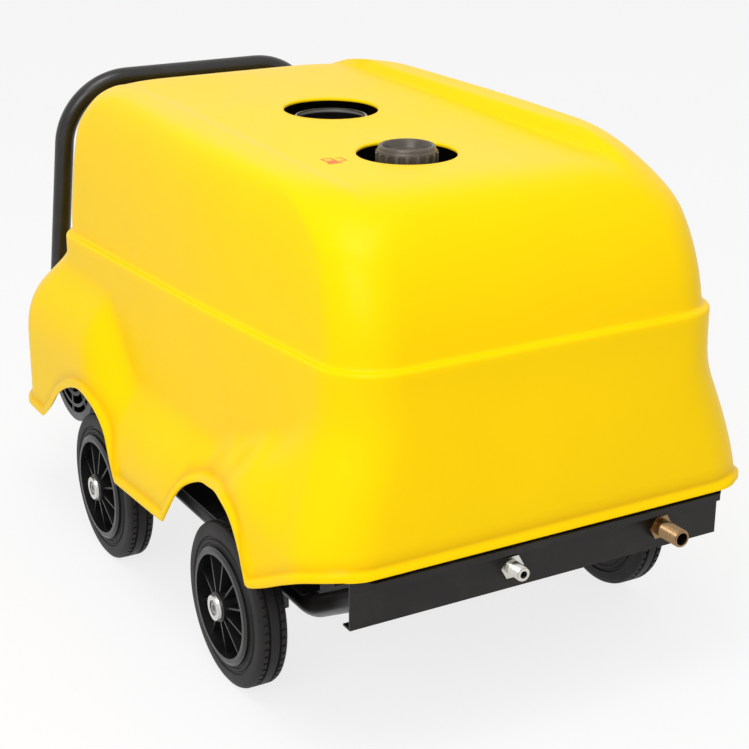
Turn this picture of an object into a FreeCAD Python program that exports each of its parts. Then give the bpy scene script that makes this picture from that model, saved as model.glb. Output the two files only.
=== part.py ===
import FreeCAD, Part
import math
import os
from FreeCAD import Vector

# Hot-water pressure washer on four wheels, in millimetres, +Z up, standing on z = 0.
# X is right and Y is rearwards. Lengths along Y are measured from a datum line between
# the axles, and every piece is moved once, at the end, so that the origin lies under the
# middle of the whole machine.

os.makedirs("parts", exist_ok=True)

# Running gear
WHEEL_R = 125.0
TYRE_W = 46.0
TYRE_BORE_R = 84.0
TYRE_CORNER_R = 9.0
TREAD_GROOVE = 3.0
SIDE_BAND_R = 101.0
SIDE_BAND_W = 6.0
SIDE_BAND_DEPTH = 3.0
WHEEL_MID_X = 337.0
FRONT_AXLE_Y = -179.3
REAR_AXLE_Y = 306.2
AXLE_R = 10.0
AXLE_RUNNING = 0.05
RIM_WALL = 6.0
RIM_FLANGE_R = 89.0
RIM_FLANGE_T = 4.0
RIM_PROUD = 7.0
RIM_WEB_T = 6.0
RIM_RIBS = 10
RIM_RIB_T = 3.0
HUB_R = 23.0
HUB_OUT = 35.0
HUB_IN = 29.0
BUSH_R = 13.0
BUSH_FLANGE_R = 20.0
BUSH_FLANGE_T = 4.0
END_SCREW_R = 9.9
END_SCREW_SOCKET_AF = 8.0
SCREW_CLEARANCE = 2.1
END_SCREW_T = 3.0
GAP = 0.3
FAR = 1000.0
COLLAR_R = 16.0
COLLAR_L = 12.0

# Chassis
TUBE_R = 16.85
TUBE_WALL = 3.0
RAIL_X = 267.5
RAIL_NOSE_Z = 251.0
RAIL_BEND_Y = -292.0
RAIL_BEND_R = 90.0
RAIL_END_Y = 645.0
BRACKET_T = 8.0
BRACKET_LEN = 44.0
BRACKET_DROP = 18.0
CROSS_W = 30.0
CROSS_H = 20.0
CROSS_YS = (-262.0, -60.0, 352.0, 594.0)
TRAY_T = 2.5
TRAY_FRONT_Y = -284.0
TRAY_REAR_Y = 612.0
TRAY_HALF = 284.0
TRAY_VENT_R = 60.0
TRAY_VENT_YS = (60.0, 240.0)
CLAMP_HALF = 21.0
CLAMP_LEN = 60.0
BOLT_R = 4.0
BOLT_HEAD_AF = 13.0
BOLT_HEAD_T = 5.3

# Push handle, given by the corners of its centreline
HANDLE_TOP_Z = 736.0
HANDLE_TOP_Y = 689.0
HANDLE_TOP_HALF = 243.0
HANDLE_HEEL_Y = 778.0
HANDLE_TOP_R = 119.0
HANDLE_HEEL_R = 100.0

# Front plate and its two fittings
PLATE_Y = -470.9
PLATE_T = 3.0
PLATE_HALF = 309.6
PLATE_BOTTOM_Z = 209.2
PLATE_TOP_Z = 287.7
FLANGE_REACH = 31.0
FLANGE_LIP = 10.0
FLANGE_CHAMFER = 22.0
PLATE_RETURN = 16.0
INLET_X = 199.0
OUTLET_X = -60.0
FITTING_Z = 247.0
INLET_TIP = 57.0
INLET_R = 13.2
INLET_BORE_R = 9.5
INLET_NUT_AF = 34.0
INLET_NUT_T = 10.0
OUTLET_TIP = 38.0
OUTLET_R = 10.5
OUTLET_BORE_R = 5.5
OUTLET_NUT_AF = 32.0
OUTLET_NUT_T = 11.0
THREAD_PITCH = 2.3
THREAD_DEPTH = 0.9
THREAD_LEAD = 1.0
INLET_NECK = 6.0
OUTLET_NECK = 2.0
OUTLET_BACK_NUT_AF = 28.0

# Hood
HOOD_WALL = 5.0
HEM_ROLL = 8.0
HEM_BAND = 12.0
SKIRT_FRONT_Y = -473.0
SKIRT_NOSE = 20.0
SKIRT_TAIL_Y = 662.0
CAB_FRONT_Y = -462.0
CAB_REAR_Y = 566.0
BELT_FRONT_Z = 558.0
BELT_FALL = 0.042
BELT_Y = -440.0
BELT_LEDGE = 12.0
SKIRT_NOSE_DROP = 260.0
SKIRT_TAIL_Z = 478.0
SKIRT_TAIL_DROP = 178.0
SKIRT_FRONT_CORNER_R = 90.0
SKIRT_REAR_CORNER_R = 105.0
CAB_SHOULDER = 62.0
CAB_BROW = 200.0
CAB_REAR_LEAN = 8.0
CAB_REAR_SHOULDER = 30.0
CAB_REAR_EDGE = 60.0
CAB_CORNER_R = 80.0
CAB_CORNER_GROWTH = 70.0
CAB_CORNER_Z = 690.0
ROOF_RIDGE_Z = 780.0
ROOF_PANEL_Z = 758.0
ROOF_PANEL_HALF = 216.0
CAB_FOOT_Z = 540.0
FLUE_Y = 149.0
FLUE_HOLE_R = 75.0
FILLER_X = -39.0
FILLER_Y = -152.0
FILLER_HOLE_R = 73.0
WINDOW_HALF = 155.0
WINDOW_Z0 = 500.0
WINDOW_Z1 = 628.0
FLARE_FOLD = 0.4
# stations along Y: (y, value)
BELT_HALF = [(-503, 314), (50, 328), (700, 331)]
FLARE_HALF = [(-503, 358), (-400, 368), (-280, 378), (190, 379), (340, 384), (700, 387)]
FLARE_TOP = [(-503, 556), (-400, 500), (-280, 432), (-180, 396), (-90, 358), (190, 352), (325, 470),
             (700, 472)]
FLARE_FULL = [(-503, 285), (-400, 300), (-280, 322), (-90, 225), (190, 205), (340, 300), (700, 300)]
FLARE_BULGE = [(-503, 1.0), (-400, 1.3), (-280, 2.0), (190, 2.2), (340, 3.0), (700, 3.0)]
CAB_HALF = [(-503, 305), (50, 316), (700, 315)]
CAB_LEAN = [(-503, 18), (50, 8), (700, 20)]
# hem line on the side, (y, z)
REAR_ARCH = [(512, 186), (470, 217), (424, 258), (370, 287), (316, 300), (268, 290), (230, 262), (205, 230),
             (180, 186)]
FRONT_ARCH = [(-14, 196), (-44, 234), (-72, 274), (-110, 296), (-165, 311), (-215, 318), (-252, 308),
              (-282, 272), (-300, 220)]
HEM_TOE = [(-312, 218), (-350, 235), (-400, 261), (-440, 280), (-480, 290)]
HEM_TAIL_Z = 186.0
# where the moulding is cut into slabs
SLAB_ROOF_Z = 735.0
SLAB_SIDE_X = 240.0
SLAB_MIDDLE_CUTS = [320.0, 410.0, 500.0, 628.0]
SLAB_SIDE_CUTS = [(0, 320, [-282, -200, -90, 205, 300, 450, 545]), (320, 500, [-300, 420, 520]),
                  (500, 650, [-300, 420]), (650, SLAB_ROOF_Z, [-300, 420])]
SLAB_RIM_CUTS = [-300.0, 420.0]
SLAB_RING_HALF = 80.0
SLAB_WEDGES = 8

# Boiler, burner and flue
BOILER_R = 190.0
BOILER_FOOT = 34.0
BOILER_FOOT_R = 14.0
BOILER_FOOT_INSET = 30.0
BOILER_H = 400.0
BOILER_WALL = 2.0
LID_H = 30.0
LID_WALL = 3.0
LID_EDGE = 6.0
FLUE_R = 56.0
FLUE_WALL = 1.5
FLUE_LAP = 12.0
FLUE_TOP_Z = 752.0
FLUE_BEAD_R = 1.8
COIL_R = 130.0
COIL_TUBE_R = 11.0
COIL_PITCH = 34.0
COIL_TURNS = 8
COIL_LIFT = 40.0
COIL_BAR_R = 8.0
COIL_BAR_BITE = 2.0
BURNER_Z = 275.0
BURNER_Y = -180.0
SCROLL_R = 80.0
SCROLL_HALF = 52.0
SCROLL_WALL = 3.0
SCROLL_MOUTH_WALL = 8.0
SCROLL_MOUTH_GAP = 10.0
SCROLL_FOOT_HALF = 25.0
SCROLL_FOOT_LEN = 60.0
AIR_INLET_R = 55.0
AIR_INLET_WALL = 5.0
AIR_INLET_L = 14.0
BLAST_R = 45.0
BLAST_WALL = 2.0
BLAST_LAP = 10.0
BLAST_REACH = 40.0
BLAST_FLANGE_W = 22.0
BLAST_FLANGE_T = 6.0
BURNER_FAN_R = 66.0
BURNER_FAN_X0 = -30.0
BURNER_FAN_X1 = 20.0
BURNER_FAN_BLADE = 12.0
BURNER_FAN_BLADES = 24
BURNER_FAN_PLATE_T = 3.0
BURNER_FAN_HUB_R = 14.0
BURNER_SHAFT_R = 6.0
BURNER_SHAFT_CLEARANCE = 3.0
BURNER_SHAFT_SEAT = 30.0
BURNER_MOTOR_R = 48.0
BURNER_MOTOR_L = 95.0
TRANSFORMER_X0 = -222.0
TRANSFORMER_X1 = -152.0
TRANSFORMER_Y0 = -165.0
TRANSFORMER_Y1 = -75.0
TRANSFORMER_H = 62.0
ELECTRODE_R = 9.0
ELECTRODE_L = 22.0
ELECTRODE_INSET = 17.5

# Fuel tank
TANK_X = 255.0
TANK_Y0 = -405.0
TANK_Y1 = -75.0
TANK_Z0 = 386.0
TANK_Z1 = 604.0
TANK_WALL = 4.0
TANK_ROUND = 22.0
TANK_SLAB_SIDE = 13.0
TANK_SLAB_FOOT = 6.0
TANK_SLAB_TOP = 16.0
SLAB_MOUTH_HALF = 45.0
STAND_FRAME_W = 60.0
LEG_WALL = 2.0
NECK_R = 37.0
NECK_WALL = 4.0
NECK_TOP_Z = 744.0
NECK_FLANGE_W = 12.0
NECK_FLANGE_T = 4.0
NECK_THREADS = 3
NECK_THREAD_PITCH = 7.0
NECK_THREAD_H = 2.0
CAP_SKIRT_R = 46.0
CAP_WALL = 5.0
CAP_DROP = 34.0
CAP_DISC_T = 7.0
CAP_RING_R = 42.0
CAP_RING_W = 7.0
CAP_RING_H = 16.0
CAP_FLUTES = 36
CAP_FLUTE_R = 2.2
CAP_FLUTE_OUT = 0.6
CAP_FLUTE_LIFT = 4.0
SEAL_T = 3.0

# Motor and pump
MOTOR_Y = 505.0
SHAFT_H = 112.8
MOTOR_R = 92.0
MOTOR_X0 = -215.0
MOTOR_X1 = -5.0
MOTOR_END_T = 14.0
AIR_GAP = 2.0
FIN_H = 8.0
FIN_T = 3.0
FINS = 28
FOOT_W = 30.0
FOOT_HALF = 95.0
FOOT_T = 12.0
FOOT_WEB_HALF = 60.0
COWL_R = 109.0
COWL_X = -332.0
COWL_WALL = 2.0
COWL_OVERLAP = 14.0
COWL_SLOTS = ((22.0, 36.0), (43.0, 57.0), (64.0, 78.0), (84.0, 94.0))
COWL_SPOKES = 8
COWL_SPOKE_W = 5.0
COWL_TAB_W = 16.0
MOTOR_SHAFT_R = 14.0
ROTOR_R = 58.0
ROTOR_END_GAP = 12.0
FAN_GAP = 28.0
FAN_R = 88.0
FAN_HUB_R = 30.0
FAN_HUB_L = 34.0
FAN_BLADES = 9
FAN_BLADE_T = 3.0
TERMINAL_X0 = -150.0
TERMINAL_X1 = -70.0
TERMINAL_HALF = 45.0
TERMINAL_H = 46.0
GLAND_R = 12.0
GLAND_BORE_R = 7.0
GLAND_L = 13.0
BELL_L = 60.0
BELL_SEAT = 19.0
BELL_BORE_R = 52.0
BELL_WALL = 34.0
COUPLING_R = 40.0
COUPLING_GAP = 6.0
COUPLING_L = 28.0
COUPLING_TEETH = 6
TOOTH_R = 5.0
TOOTH_L = 14.0
TOOTH_CIRCLE_R = 30.0
COUPLING_FAR_X = 44.0
COUPLING_FAR_L = 12.0
PUMP_SHAFT_R = 12.0
PUMP_L = 130.0
PUMP_HALF_H = 66.0
PUMP_Y0 = 432.0
PUMP_Y1 = 578.0
PUMP_CORNER_R = 10.0
PUMP_FINS = 5
PUMP_FIN_PITCH = 24.0
PUMP_FIN_T = 4.0
PUMP_FIN_H = 6.0
OIL_GLASS_R = 14.0
OIL_GLASS_T = 5.0
HEAD_DEPTH = 60.0
HEAD_INSET = 5.0
HEAD_DROP = 52.0
HEAD_RISE = 46.0
HEAD_CAP_AF = 24.0
HEAD_CAP_T = 10.0
HEAD_CAP_PITCH = 38.0
HEAD_CAP_ZS = (-28.0, 22.0)
PORT_Y = 30.0
PORT_WALL = 4.0
PORT_L = 10.0
DELIVERY_INSET = 22.0
UNLOADER_INSET = 42.0
UNLOADER_HALF = 22.0
UNLOADER_Y = 26.0
UNLOADER_LEN = 40.0
UNLOADER_H = 30.0
UNLOADER_NECK_R = 15.0
UNLOADER_NECK_H = 18.0
KNOB_R = 20.0
KNOB_H = 20.0
KNOB_PIN_R = 4.0
KNOB_GRIPS = 12
KNOB_GRIP_R = 3.0
SPINDLE_R = 5.0
SPINDLE_L = 30.0
SPINDLE_SEAT = 26.0

# Water tank and lines
WATER_X0 = 165.0
WATER_X1 = 222.0
WATER_Y0 = -278.0
WATER_Y1 = -110.0
WATER_H = 165.0
WATER_WALL = 3.0
WATER_ROUND = 6.0
DRAW_X = 200.0
DRAW_LIFT = 30.0
HOSE_R = 11.0
HOSE_WALL = 2.5
HOSE_STUB = 17.6
SPOUT_L = 16.0
HOSE_GAP = 0.5
SUCTION_X = 240.0
SUCTION_Y = (-60.0, 40.0, 470.0)
SUCTION_RISE = (4.0, 10.0)
SUCTION_BENDS = (80.0, 90.0, 120.0, 34.0)
PIPE_R = 8.0
PIPE_WALL = 2.0
FEED_DROP = 45.0
FEED_JOG = 70.0
FEED_BENDS = (24.0, 40.0, 26.0, 26.0)
RETURN_X = -110.0
RETURN_Y = (-30.0, -78.0, -320.0, -400.0)
RETURN_DROP = 25.0
RETURN_BENDS = (30.0, 30.0, 40.0, 50.0, 50.0)

# Control box and its stand
STAND_LEG_X = 216.0
STAND_LEG_Y = 356.0
STAND_T = 3.0
LEG = 24.0
BOX_HALF = 150.0
BOX_Y0 = 440.0
BOX_Y1 = 527.0
BOX_Z0 = 474.0
BOX_Z1 = 640.0
BOX_ROUND = 6.0
PANEL_T = 3.0
DIAL_Z = 572.0
SWITCH_X = 88.0
THERMO_X = 0.0
GAUGE_X = -88.0
GAUGE_R = 32.0
GAUGE_WALL = 3.0
GAUGE_BODY_L = 30.0
GAUGE_BEZEL_T = 8.0
DIAL_DEPTH = 2.0
DIAL_BASE_T = 6.0
DIAL_STEP_T = 12.0
DIAL_STEP = 5.0
DIAL_GRIP_W = 8.0
PIN_SEAT = 14.0
NEEDLE_R = 1.5
NEEDLE_HUB_R = 4.0
NEEDLE_SEAT = 5.0
NEEDLE_L = 24.0
NEEDLE_TAIL = 8.0
NEEDLE_W = 3.2
NEEDLE_TIP_W = 1.0

# Derived places
AXLE_Z = WHEEL_R
RAIL_Z = AXLE_Z + AXLE_R + TUBE_R
RAIL_TOP = RAIL_Z + TUBE_R
TRAY_TOP = RAIL_TOP + TRAY_T
HUB_FACE_X = WHEEL_MID_X + HUB_OUT
SHAFT_Z = TRAY_TOP + SHAFT_H
BOILER_Z0 = TRAY_TOP + BOILER_FOOT
BOILER_Z1 = BOILER_Z0 + BOILER_H
COIL_START_Z = BOILER_Z0 + COIL_LIFT + COIL_TUBE_R
COIL_END_Z = COIL_START_Z + COIL_PITCH * COIL_TURNS
FRONT_MOST_Y = PLATE_Y - INLET_TIP
PUMP_X0 = MOTOR_X1 + BELL_L
PUMP_X1 = PUMP_X0 + PUMP_L
FAN_X0 = COWL_X + FAN_GAP
SUCTION_Z = SHAFT_Z + HEAD_CAP_ZS[0]
DELIVERY_X = PUMP_X0 + DELIVERY_INSET
DRAW_Z = TRAY_TOP + DRAW_LIFT


def box(x0, x1, y0, y1, z0, z1):
    return Part.makeBox(x1 - x0, y1 - y0, z1 - z0, Vector(x0, y0, z0))


def cyl(radius, start, axis, length):
    return Part.makeCylinder(radius, length, Vector(*start), Vector(*axis))


def pipe(outer, inner, start, axis, length):
    return cyl(outer, start, axis, length).cut(cyl(inner, start, axis, length))


def turned(profile):
    """A solid turned about the X axis from (x, radius) corners."""
    wire = Part.makePolygon([Vector(x, 0, r) for x, r in profile + profile[:1]])
    return Part.Face(wire).revolve(Vector(0, 0, 0), Vector(1, 0, 0), 360)


def hexagon(across_flats, start, axis, length):
    """A hexagonal bar along axis ('x', 'y' or 'z') from start."""
    r = across_flats / math.sqrt(3)
    corners = [(r * math.cos(math.pi / 3 * k), r * math.sin(math.pi / 3 * k)) for k in range(7)]
    place = {"x": lambda a, b: Vector(0, a, b), "y": lambda a, b: Vector(a, 0, b), "z": lambda a,
             b: Vector(a, b, 0)}
    along_axis = {"x": Vector(length, 0, 0), "y": Vector(0, length, 0), "z": Vector(0, 0, length)}
    bar = Part.Face(Part.makePolygon([place[axis](a, b) for a, b in corners])).extrude(along_axis[axis])
    bar.translate(Vector(*start))
    return bar


def joined(shapes):
    whole = shapes[0].multiFuse(shapes[1:])
    return whole.removeSplitter()


def sliced(solids, axis, cuts):
    """The solids cut through by planes square to axis ('x', 'y' or 'z')."""
    pieces = []
    limits = [-FAR] + cuts + [FAR]
    for solid in solids:
        bound = solid.BoundBox
        low, high = {"x": (bound.XMin, bound.XMax), "y": (bound.YMin, bound.YMax),
                     "z": (bound.ZMin, bound.ZMax)}[axis]
        for start, end in zip(limits, limits[1:]):
            if high <= start or low >= end:
                continue
            if low >= start and high <= end:
                pieces.append(solid)
                continue
            span = {"x": (-FAR, FAR), "y": (-FAR, FAR), "z": (-FAR, FAR)}
            span[axis] = (start, end)
            pieces += solid.common(box(*span["x"], *span["y"], *span["z"])).Solids
    return pieces


def wedged(solids, x, y, count):
    """The solids cut into equal wedges round an upright line."""
    pieces = []
    for k in range(count):
        start = 2 * math.pi * k / count
        end = start + 2 * math.pi / count
        corners = [Vector(x, y, -FAR), Vector(x + FAR * math.cos(start), y + FAR * math.sin(start), -FAR),
                   Vector(x + FAR * math.cos(end), y + FAR * math.sin(end), -FAR), Vector(x, y, -FAR)]
        prism = Part.Face(Part.makePolygon(corners)).extrude(Vector(0, 0, 2 * FAR))
        for solid in solids:
            pieces += solid.common(prism).Solids
    return pieces


def inside(pieces, axis, start, end):
    return [piece for piece in pieces if start < getattr(piece.CenterOfMass, axis) < end]


def mirrored(shape):
    return shape.mirror(Vector(0, 0, 0), Vector(1, 0, 0))


def route(points, radii):
    """A wire of straight runs joined by tangent arcs at the inner points."""
    pts = [Vector(*p) for p in points]
    edges = []
    last = pts[0]
    for before, here, after, radius in zip(pts, pts[1:], pts[2:], radii):
        back = (before - here).normalize()
        ahead = (after - here).normalize()
        half_turn = (math.pi - back.getAngle(ahead)) / 2
        reach = radius * math.tan(half_turn)
        p1 = here + back * reach
        p2 = here + ahead * reach
        inward = (back + ahead).normalize()
        middle = here + inward * (radius / math.cos(half_turn) - radius)
        if (p1 - last).Length > 1e-6:
            edges.append(Part.makeLine(last, p1))
        edges.append(Part.Arc(p1, middle, p2).toShape())
        last = p2
    edges.append(Part.makeLine(last, pts[-1]))
    return Part.Wire(edges)


def swept(path, radius):
    start = path.Edges[0].Vertexes[0].Point
    edge = path.Edges[0]
    tangent = edge.tangentAt(edge.FirstParameter)
    ring = Part.Wire(Part.makeCircle(radius, start, tangent))
    return path.makePipeShell([ring], True, False)


def bent_tube(points, radii, radius, wall):
    path = route(points, radii)
    return swept(path, radius).cut(swept(path, radius - wall))


# Push handle first, because its heel is the rearmost point of the machine

def make_push_handle():
    right = [(RAIL_X, RAIL_END_Y, RAIL_Z), (RAIL_X, HANDLE_HEEL_Y, RAIL_Z),
             (HANDLE_TOP_HALF, HANDLE_TOP_Y, HANDLE_TOP_Z)]
    left = [(-x, y, z) for x, y, z in reversed(right)]
    radii = [HANDLE_HEEL_R, HANDLE_TOP_R, HANDLE_TOP_R, HANDLE_HEEL_R]
    return bent_tube(right + left, radii, TUBE_R, TUBE_WALL)


push_handle = make_push_handle()
REAR_MOST_Y = push_handle.optimalBoundingBox().YMax
MID_Y = round((FRONT_MOST_Y + REAR_MOST_Y) / 2, 2)
print("datum to middle", MID_Y, "front", FRONT_MOST_Y - MID_Y, "rear", REAR_MOST_Y - MID_Y)


def save(name, shape):
    shape = shape.copy()
    shape.translate(Vector(0, -MID_Y, 0))
    shape.exportStep("parts/" + name + ".step")
    print(name, "valid" if shape.isValid() else "NOT VALID", len(shape.Solids),
          round(shape.Volume / 1000, 1))


save("push_handle", push_handle)


# Chassis

def make_side_rail(side):
    nose_y = PLATE_Y + PLATE_T
    slope = (RAIL_NOSE_Z - RAIL_Z) / (RAIL_BEND_Y - nose_y)
    over = 40.0
    points = [
        (side * RAIL_X, nose_y - over, RAIL_NOSE_Z + over * slope),
        (side * RAIL_X, RAIL_BEND_Y, RAIL_Z),
        (side * RAIL_X, RAIL_END_Y, RAIL_Z),
    ]
    rail = bent_tube(points, [RAIL_BEND_R], TUBE_R, TUBE_WALL)
    return rail.cut(box(-400, 400, nose_y - 200, nose_y, 0, 400))


def make_axle_bracket(side, y):
    x = side * RAIL_X
    plate = box(x - BRACKET_T / 2, x + BRACKET_T / 2, y - BRACKET_LEN / 2, y + BRACKET_LEN / 2,
                AXLE_Z - BRACKET_DROP, RAIL_Z - TUBE_R + TUBE_WALL / 2)
    return plate.cut(cyl(AXLE_R, (x - BRACKET_T, y, AXLE_Z), (1, 0, 0), 2 * BRACKET_T))


def make_cross_member(y):
    inner = RAIL_X - TUBE_R + TUBE_WALL
    outer = box(-inner, inner, y - CROSS_W / 2, y + CROSS_W / 2, RAIL_TOP - CROSS_H, RAIL_TOP)
    hollow = box(-inner, inner, y - CROSS_W / 2 + TUBE_WALL, y + CROSS_W / 2 - TUBE_WALL,
                 RAIL_TOP - CROSS_H + TUBE_WALL, RAIL_TOP - TUBE_WALL)
    member = outer.cut(hollow)
    for side in (-1, 1):
        member = member.cut(cyl(TUBE_R - TUBE_WALL / 2, (side * RAIL_X, y - CROSS_W, RAIL_Z), (0, 1, 0),
                                2 * CROSS_W))
    return member


frame_pieces = [make_side_rail(side) for side in (-1, 1)]
frame_pieces += [make_cross_member(y) for y in CROSS_YS]
frame_pieces += [make_axle_bracket(side, y) for side in (-1, 1) for y in (FRONT_AXLE_Y, REAR_AXLE_Y)]
save("chassis_frame", joined(frame_pieces))

tray = box(-TRAY_HALF, TRAY_HALF, TRAY_FRONT_Y, TRAY_REAR_Y, RAIL_TOP, TRAY_TOP)
for vent_y in TRAY_VENT_YS:
    tray = tray.cut(cyl(TRAY_VENT_R, (0, vent_y, RAIL_TOP - 1), (0, 0, 1), TRAY_T + 2))
save("floor_tray", tray)

clamp_blocks = []
clamp_bolts = []
for side in (-1, 1):
    x = side * RAIL_X
    block = box(x - CLAMP_HALF, x + CLAMP_HALF, RAIL_END_Y - CLAMP_LEN / 2, RAIL_END_Y + CLAMP_LEN / 2,
                RAIL_Z - CLAMP_HALF, HEM_TAIL_Z - GAP)
    block = block.cut(cyl(TUBE_R, (x, RAIL_END_Y - CLAMP_LEN, RAIL_Z), (0, 1, 0), 2 * CLAMP_LEN))
    clamp_blocks.append(block)
    for dy in (-CLAMP_LEN / 4, CLAMP_LEN / 4):
        head_x = x + side * CLAMP_HALF
        start = head_x if side > 0 else head_x - BOLT_HEAD_T
        clamp_bolts.append(hexagon(BOLT_HEAD_AF, (start, RAIL_END_Y + dy, RAIL_Z), "x", BOLT_HEAD_T))
save("handle_clamps", Part.Compound(clamp_blocks))
save("clamp_bolts", Part.Compound(clamp_bolts))


def make_front_plate():
    front = PLATE_Y
    back = PLATE_Y + PLATE_T
    lip = PLATE_Y - FLANGE_REACH
    profile = [
        (back, PLATE_TOP_Z), (lip, PLATE_TOP_Z), (lip, PLATE_TOP_Z - FLANGE_LIP),
        (lip + PLATE_T, PLATE_TOP_Z - FLANGE_LIP), (lip + PLATE_T, PLATE_TOP_Z - PLATE_T),
        (front, PLATE_TOP_Z - PLATE_T), (front, PLATE_BOTTOM_Z), (back + PLATE_RETURN, PLATE_BOTTOM_Z),
        (back + PLATE_RETURN, PLATE_BOTTOM_Z + PLATE_T), (back, PLATE_BOTTOM_Z + PLATE_T),
               (back, PLATE_TOP_Z),
    ]
    plate = Part.Face(Part.makePolygon([Vector(-PLATE_HALF, y, z) for y, z in profile]))
    plate = plate.extrude(Vector(2 * PLATE_HALF, 0, 0))
    for side in (-1, 1):
        corner = Part.makePolygon([
            Vector(side * PLATE_HALF, lip, 0), Vector(side * (PLATE_HALF - FLANGE_CHAMFER), lip, 0),
            Vector(side * PLATE_HALF, lip + FLANGE_CHAMFER, 0), Vector(side * PLATE_HALF, lip, 0)])
        plate = plate.cut(Part.Face(corner).extrude(Vector(0, 0, 2 * PLATE_TOP_Z)))
    plate = plate.cut(cyl(INLET_R, (INLET_X, PLATE_Y - 1, FITTING_Z), (0, 1, 0), PLATE_T + 2))
    plate = plate.cut(cyl(OUTLET_R, (OUTLET_X, PLATE_Y - 1, FITTING_Z), (0, 1, 0), PLATE_T + 2))
    return plate


plate_strips = sliced([make_front_plate()], "x", [OUTLET_X, INLET_X])
save("front_bumper_plate", Part.Compound(sliced(plate_strips, "z", [FITTING_Z])))


def threaded(radius, start_y, length, x):
    """A thread drawn as rings, along Y from start_y."""
    rings = []
    count = int(length / THREAD_PITCH)
    for k in range(count):
        y = start_y + k * THREAD_PITCH
        crest = y + THREAD_PITCH / 2
        root_r = radius - THREAD_DEPTH
        rings.append(Part.makeCone(root_r, radius, THREAD_PITCH / 2, Vector(x, y, FITTING_Z),
                                   Vector(0, 1, 0)))
        rings.append(Part.makeCone(radius, root_r, THREAD_PITCH / 2, Vector(x, crest, FITTING_Z),
                                   Vector(0, 1, 0)))
    return rings


def make_water_inlet():
    tip = PLATE_Y - INLET_TIP
    body = [cyl(INLET_R - THREAD_DEPTH, (INLET_X, tip, FITTING_Z), (0, 1, 0), INLET_TIP + PLATE_T)]
    body += threaded(INLET_R, tip + THREAD_LEAD, INLET_TIP - INLET_NUT_T - INLET_NECK - 2, INLET_X)
    body.append(cyl(INLET_R, (INLET_X, PLATE_Y - INLET_NUT_T - INLET_NECK, FITTING_Z), (0, 1, 0),
                    INLET_NUT_T + INLET_NECK + PLATE_T))
    body.append(hexagon(INLET_NUT_AF, (INLET_X, PLATE_Y - INLET_NUT_T, FITTING_Z), "y", INLET_NUT_T))
    body.append(hexagon(INLET_NUT_AF, (INLET_X, PLATE_Y + PLATE_T, FITTING_Z), "y", INLET_NUT_T))
    body.append(cyl(HOSE_R - HOSE_WALL, (INLET_X, PLATE_Y + PLATE_T, FITTING_Z), (0, 1, 0),
                    INLET_NUT_T + HOSE_STUB))
    whole = joined(body)
    return whole.cut(cyl(INLET_BORE_R, (INLET_X, tip - 1, FITTING_Z), (0, 1, 0), INLET_TIP)).cut(
        cyl(HOSE_R - 2 * HOSE_WALL, (INLET_X, tip - 1, FITTING_Z), (0, 1, 0), 3 * INLET_TIP))


def make_pressure_outlet():
    tip = PLATE_Y - OUTLET_TIP
    body = [cyl(OUTLET_R - THREAD_DEPTH, (OUTLET_X, tip, FITTING_Z), (0, 1, 0), OUTLET_TIP + PLATE_T)]
    body += threaded(OUTLET_R, tip + THREAD_LEAD, OUTLET_TIP - OUTLET_NUT_T - OUTLET_NECK - THREAD_LEAD,
                     OUTLET_X)
    body.append(cyl(OUTLET_R, (OUTLET_X, PLATE_Y - OUTLET_NUT_T - OUTLET_NECK, FITTING_Z), (0, 1, 0),
                    OUTLET_NUT_T + OUTLET_NECK + PLATE_T))
    body.append(hexagon(OUTLET_BACK_NUT_AF, (OUTLET_X, PLATE_Y + PLATE_T, FITTING_Z), "y", OUTLET_NUT_T))
    return joined(body).cut(cyl(OUTLET_BORE_R, (OUTLET_X, tip - 1, FITTING_Z), (0, 1, 0), 3 * OUTLET_TIP))


save("water_inlet", make_water_inlet())
save("pressure_outlet", make_pressure_outlet())
nut = hexagon(OUTLET_NUT_AF, (OUTLET_X, PLATE_Y - OUTLET_NUT_T, FITTING_Z), "y", OUTLET_NUT_T)
nut = nut.cut(cyl(OUTLET_R, (OUTLET_X, PLATE_Y - 2 * OUTLET_NUT_T, FITTING_Z), (0, 1, 0), 3 * OUTLET_NUT_T))
save("outlet_locknut", nut)


# Wheels, built about the X axis with +X outwards, then placed

def make_tyre():
    half = TYRE_W / 2
    shoulder = TYRE_CORNER_R
    groove = TREAD_GROOVE
    band_top = SIDE_BAND_R + SIDE_BAND_W / 2
    band_foot = SIDE_BAND_R - SIDE_BAND_W / 2
    sunk = half - SIDE_BAND_DEPTH
    corners = [(-half, TYRE_BORE_R), (-half, WHEEL_R - shoulder),
               (-half + shoulder / 3, WHEEL_R - shoulder / 3),
               (-half + shoulder, WHEEL_R)]
    for x in (-half / 3, half / 3):
        corners += [(x - groove, WHEEL_R), (x - groove / 2, WHEEL_R - groove),
                    (x + groove / 2, WHEEL_R - groove),
                    (x + groove, WHEEL_R)]
    corners += [(half - shoulder, WHEEL_R), (half - shoulder / 3, WHEEL_R - shoulder / 3),
                (half, WHEEL_R - shoulder),
                (half, band_top), (sunk, band_top - 1), (sunk, band_foot + 1), (half, band_foot),
                (half, TYRE_BORE_R)]
    return turned(corners)


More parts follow.
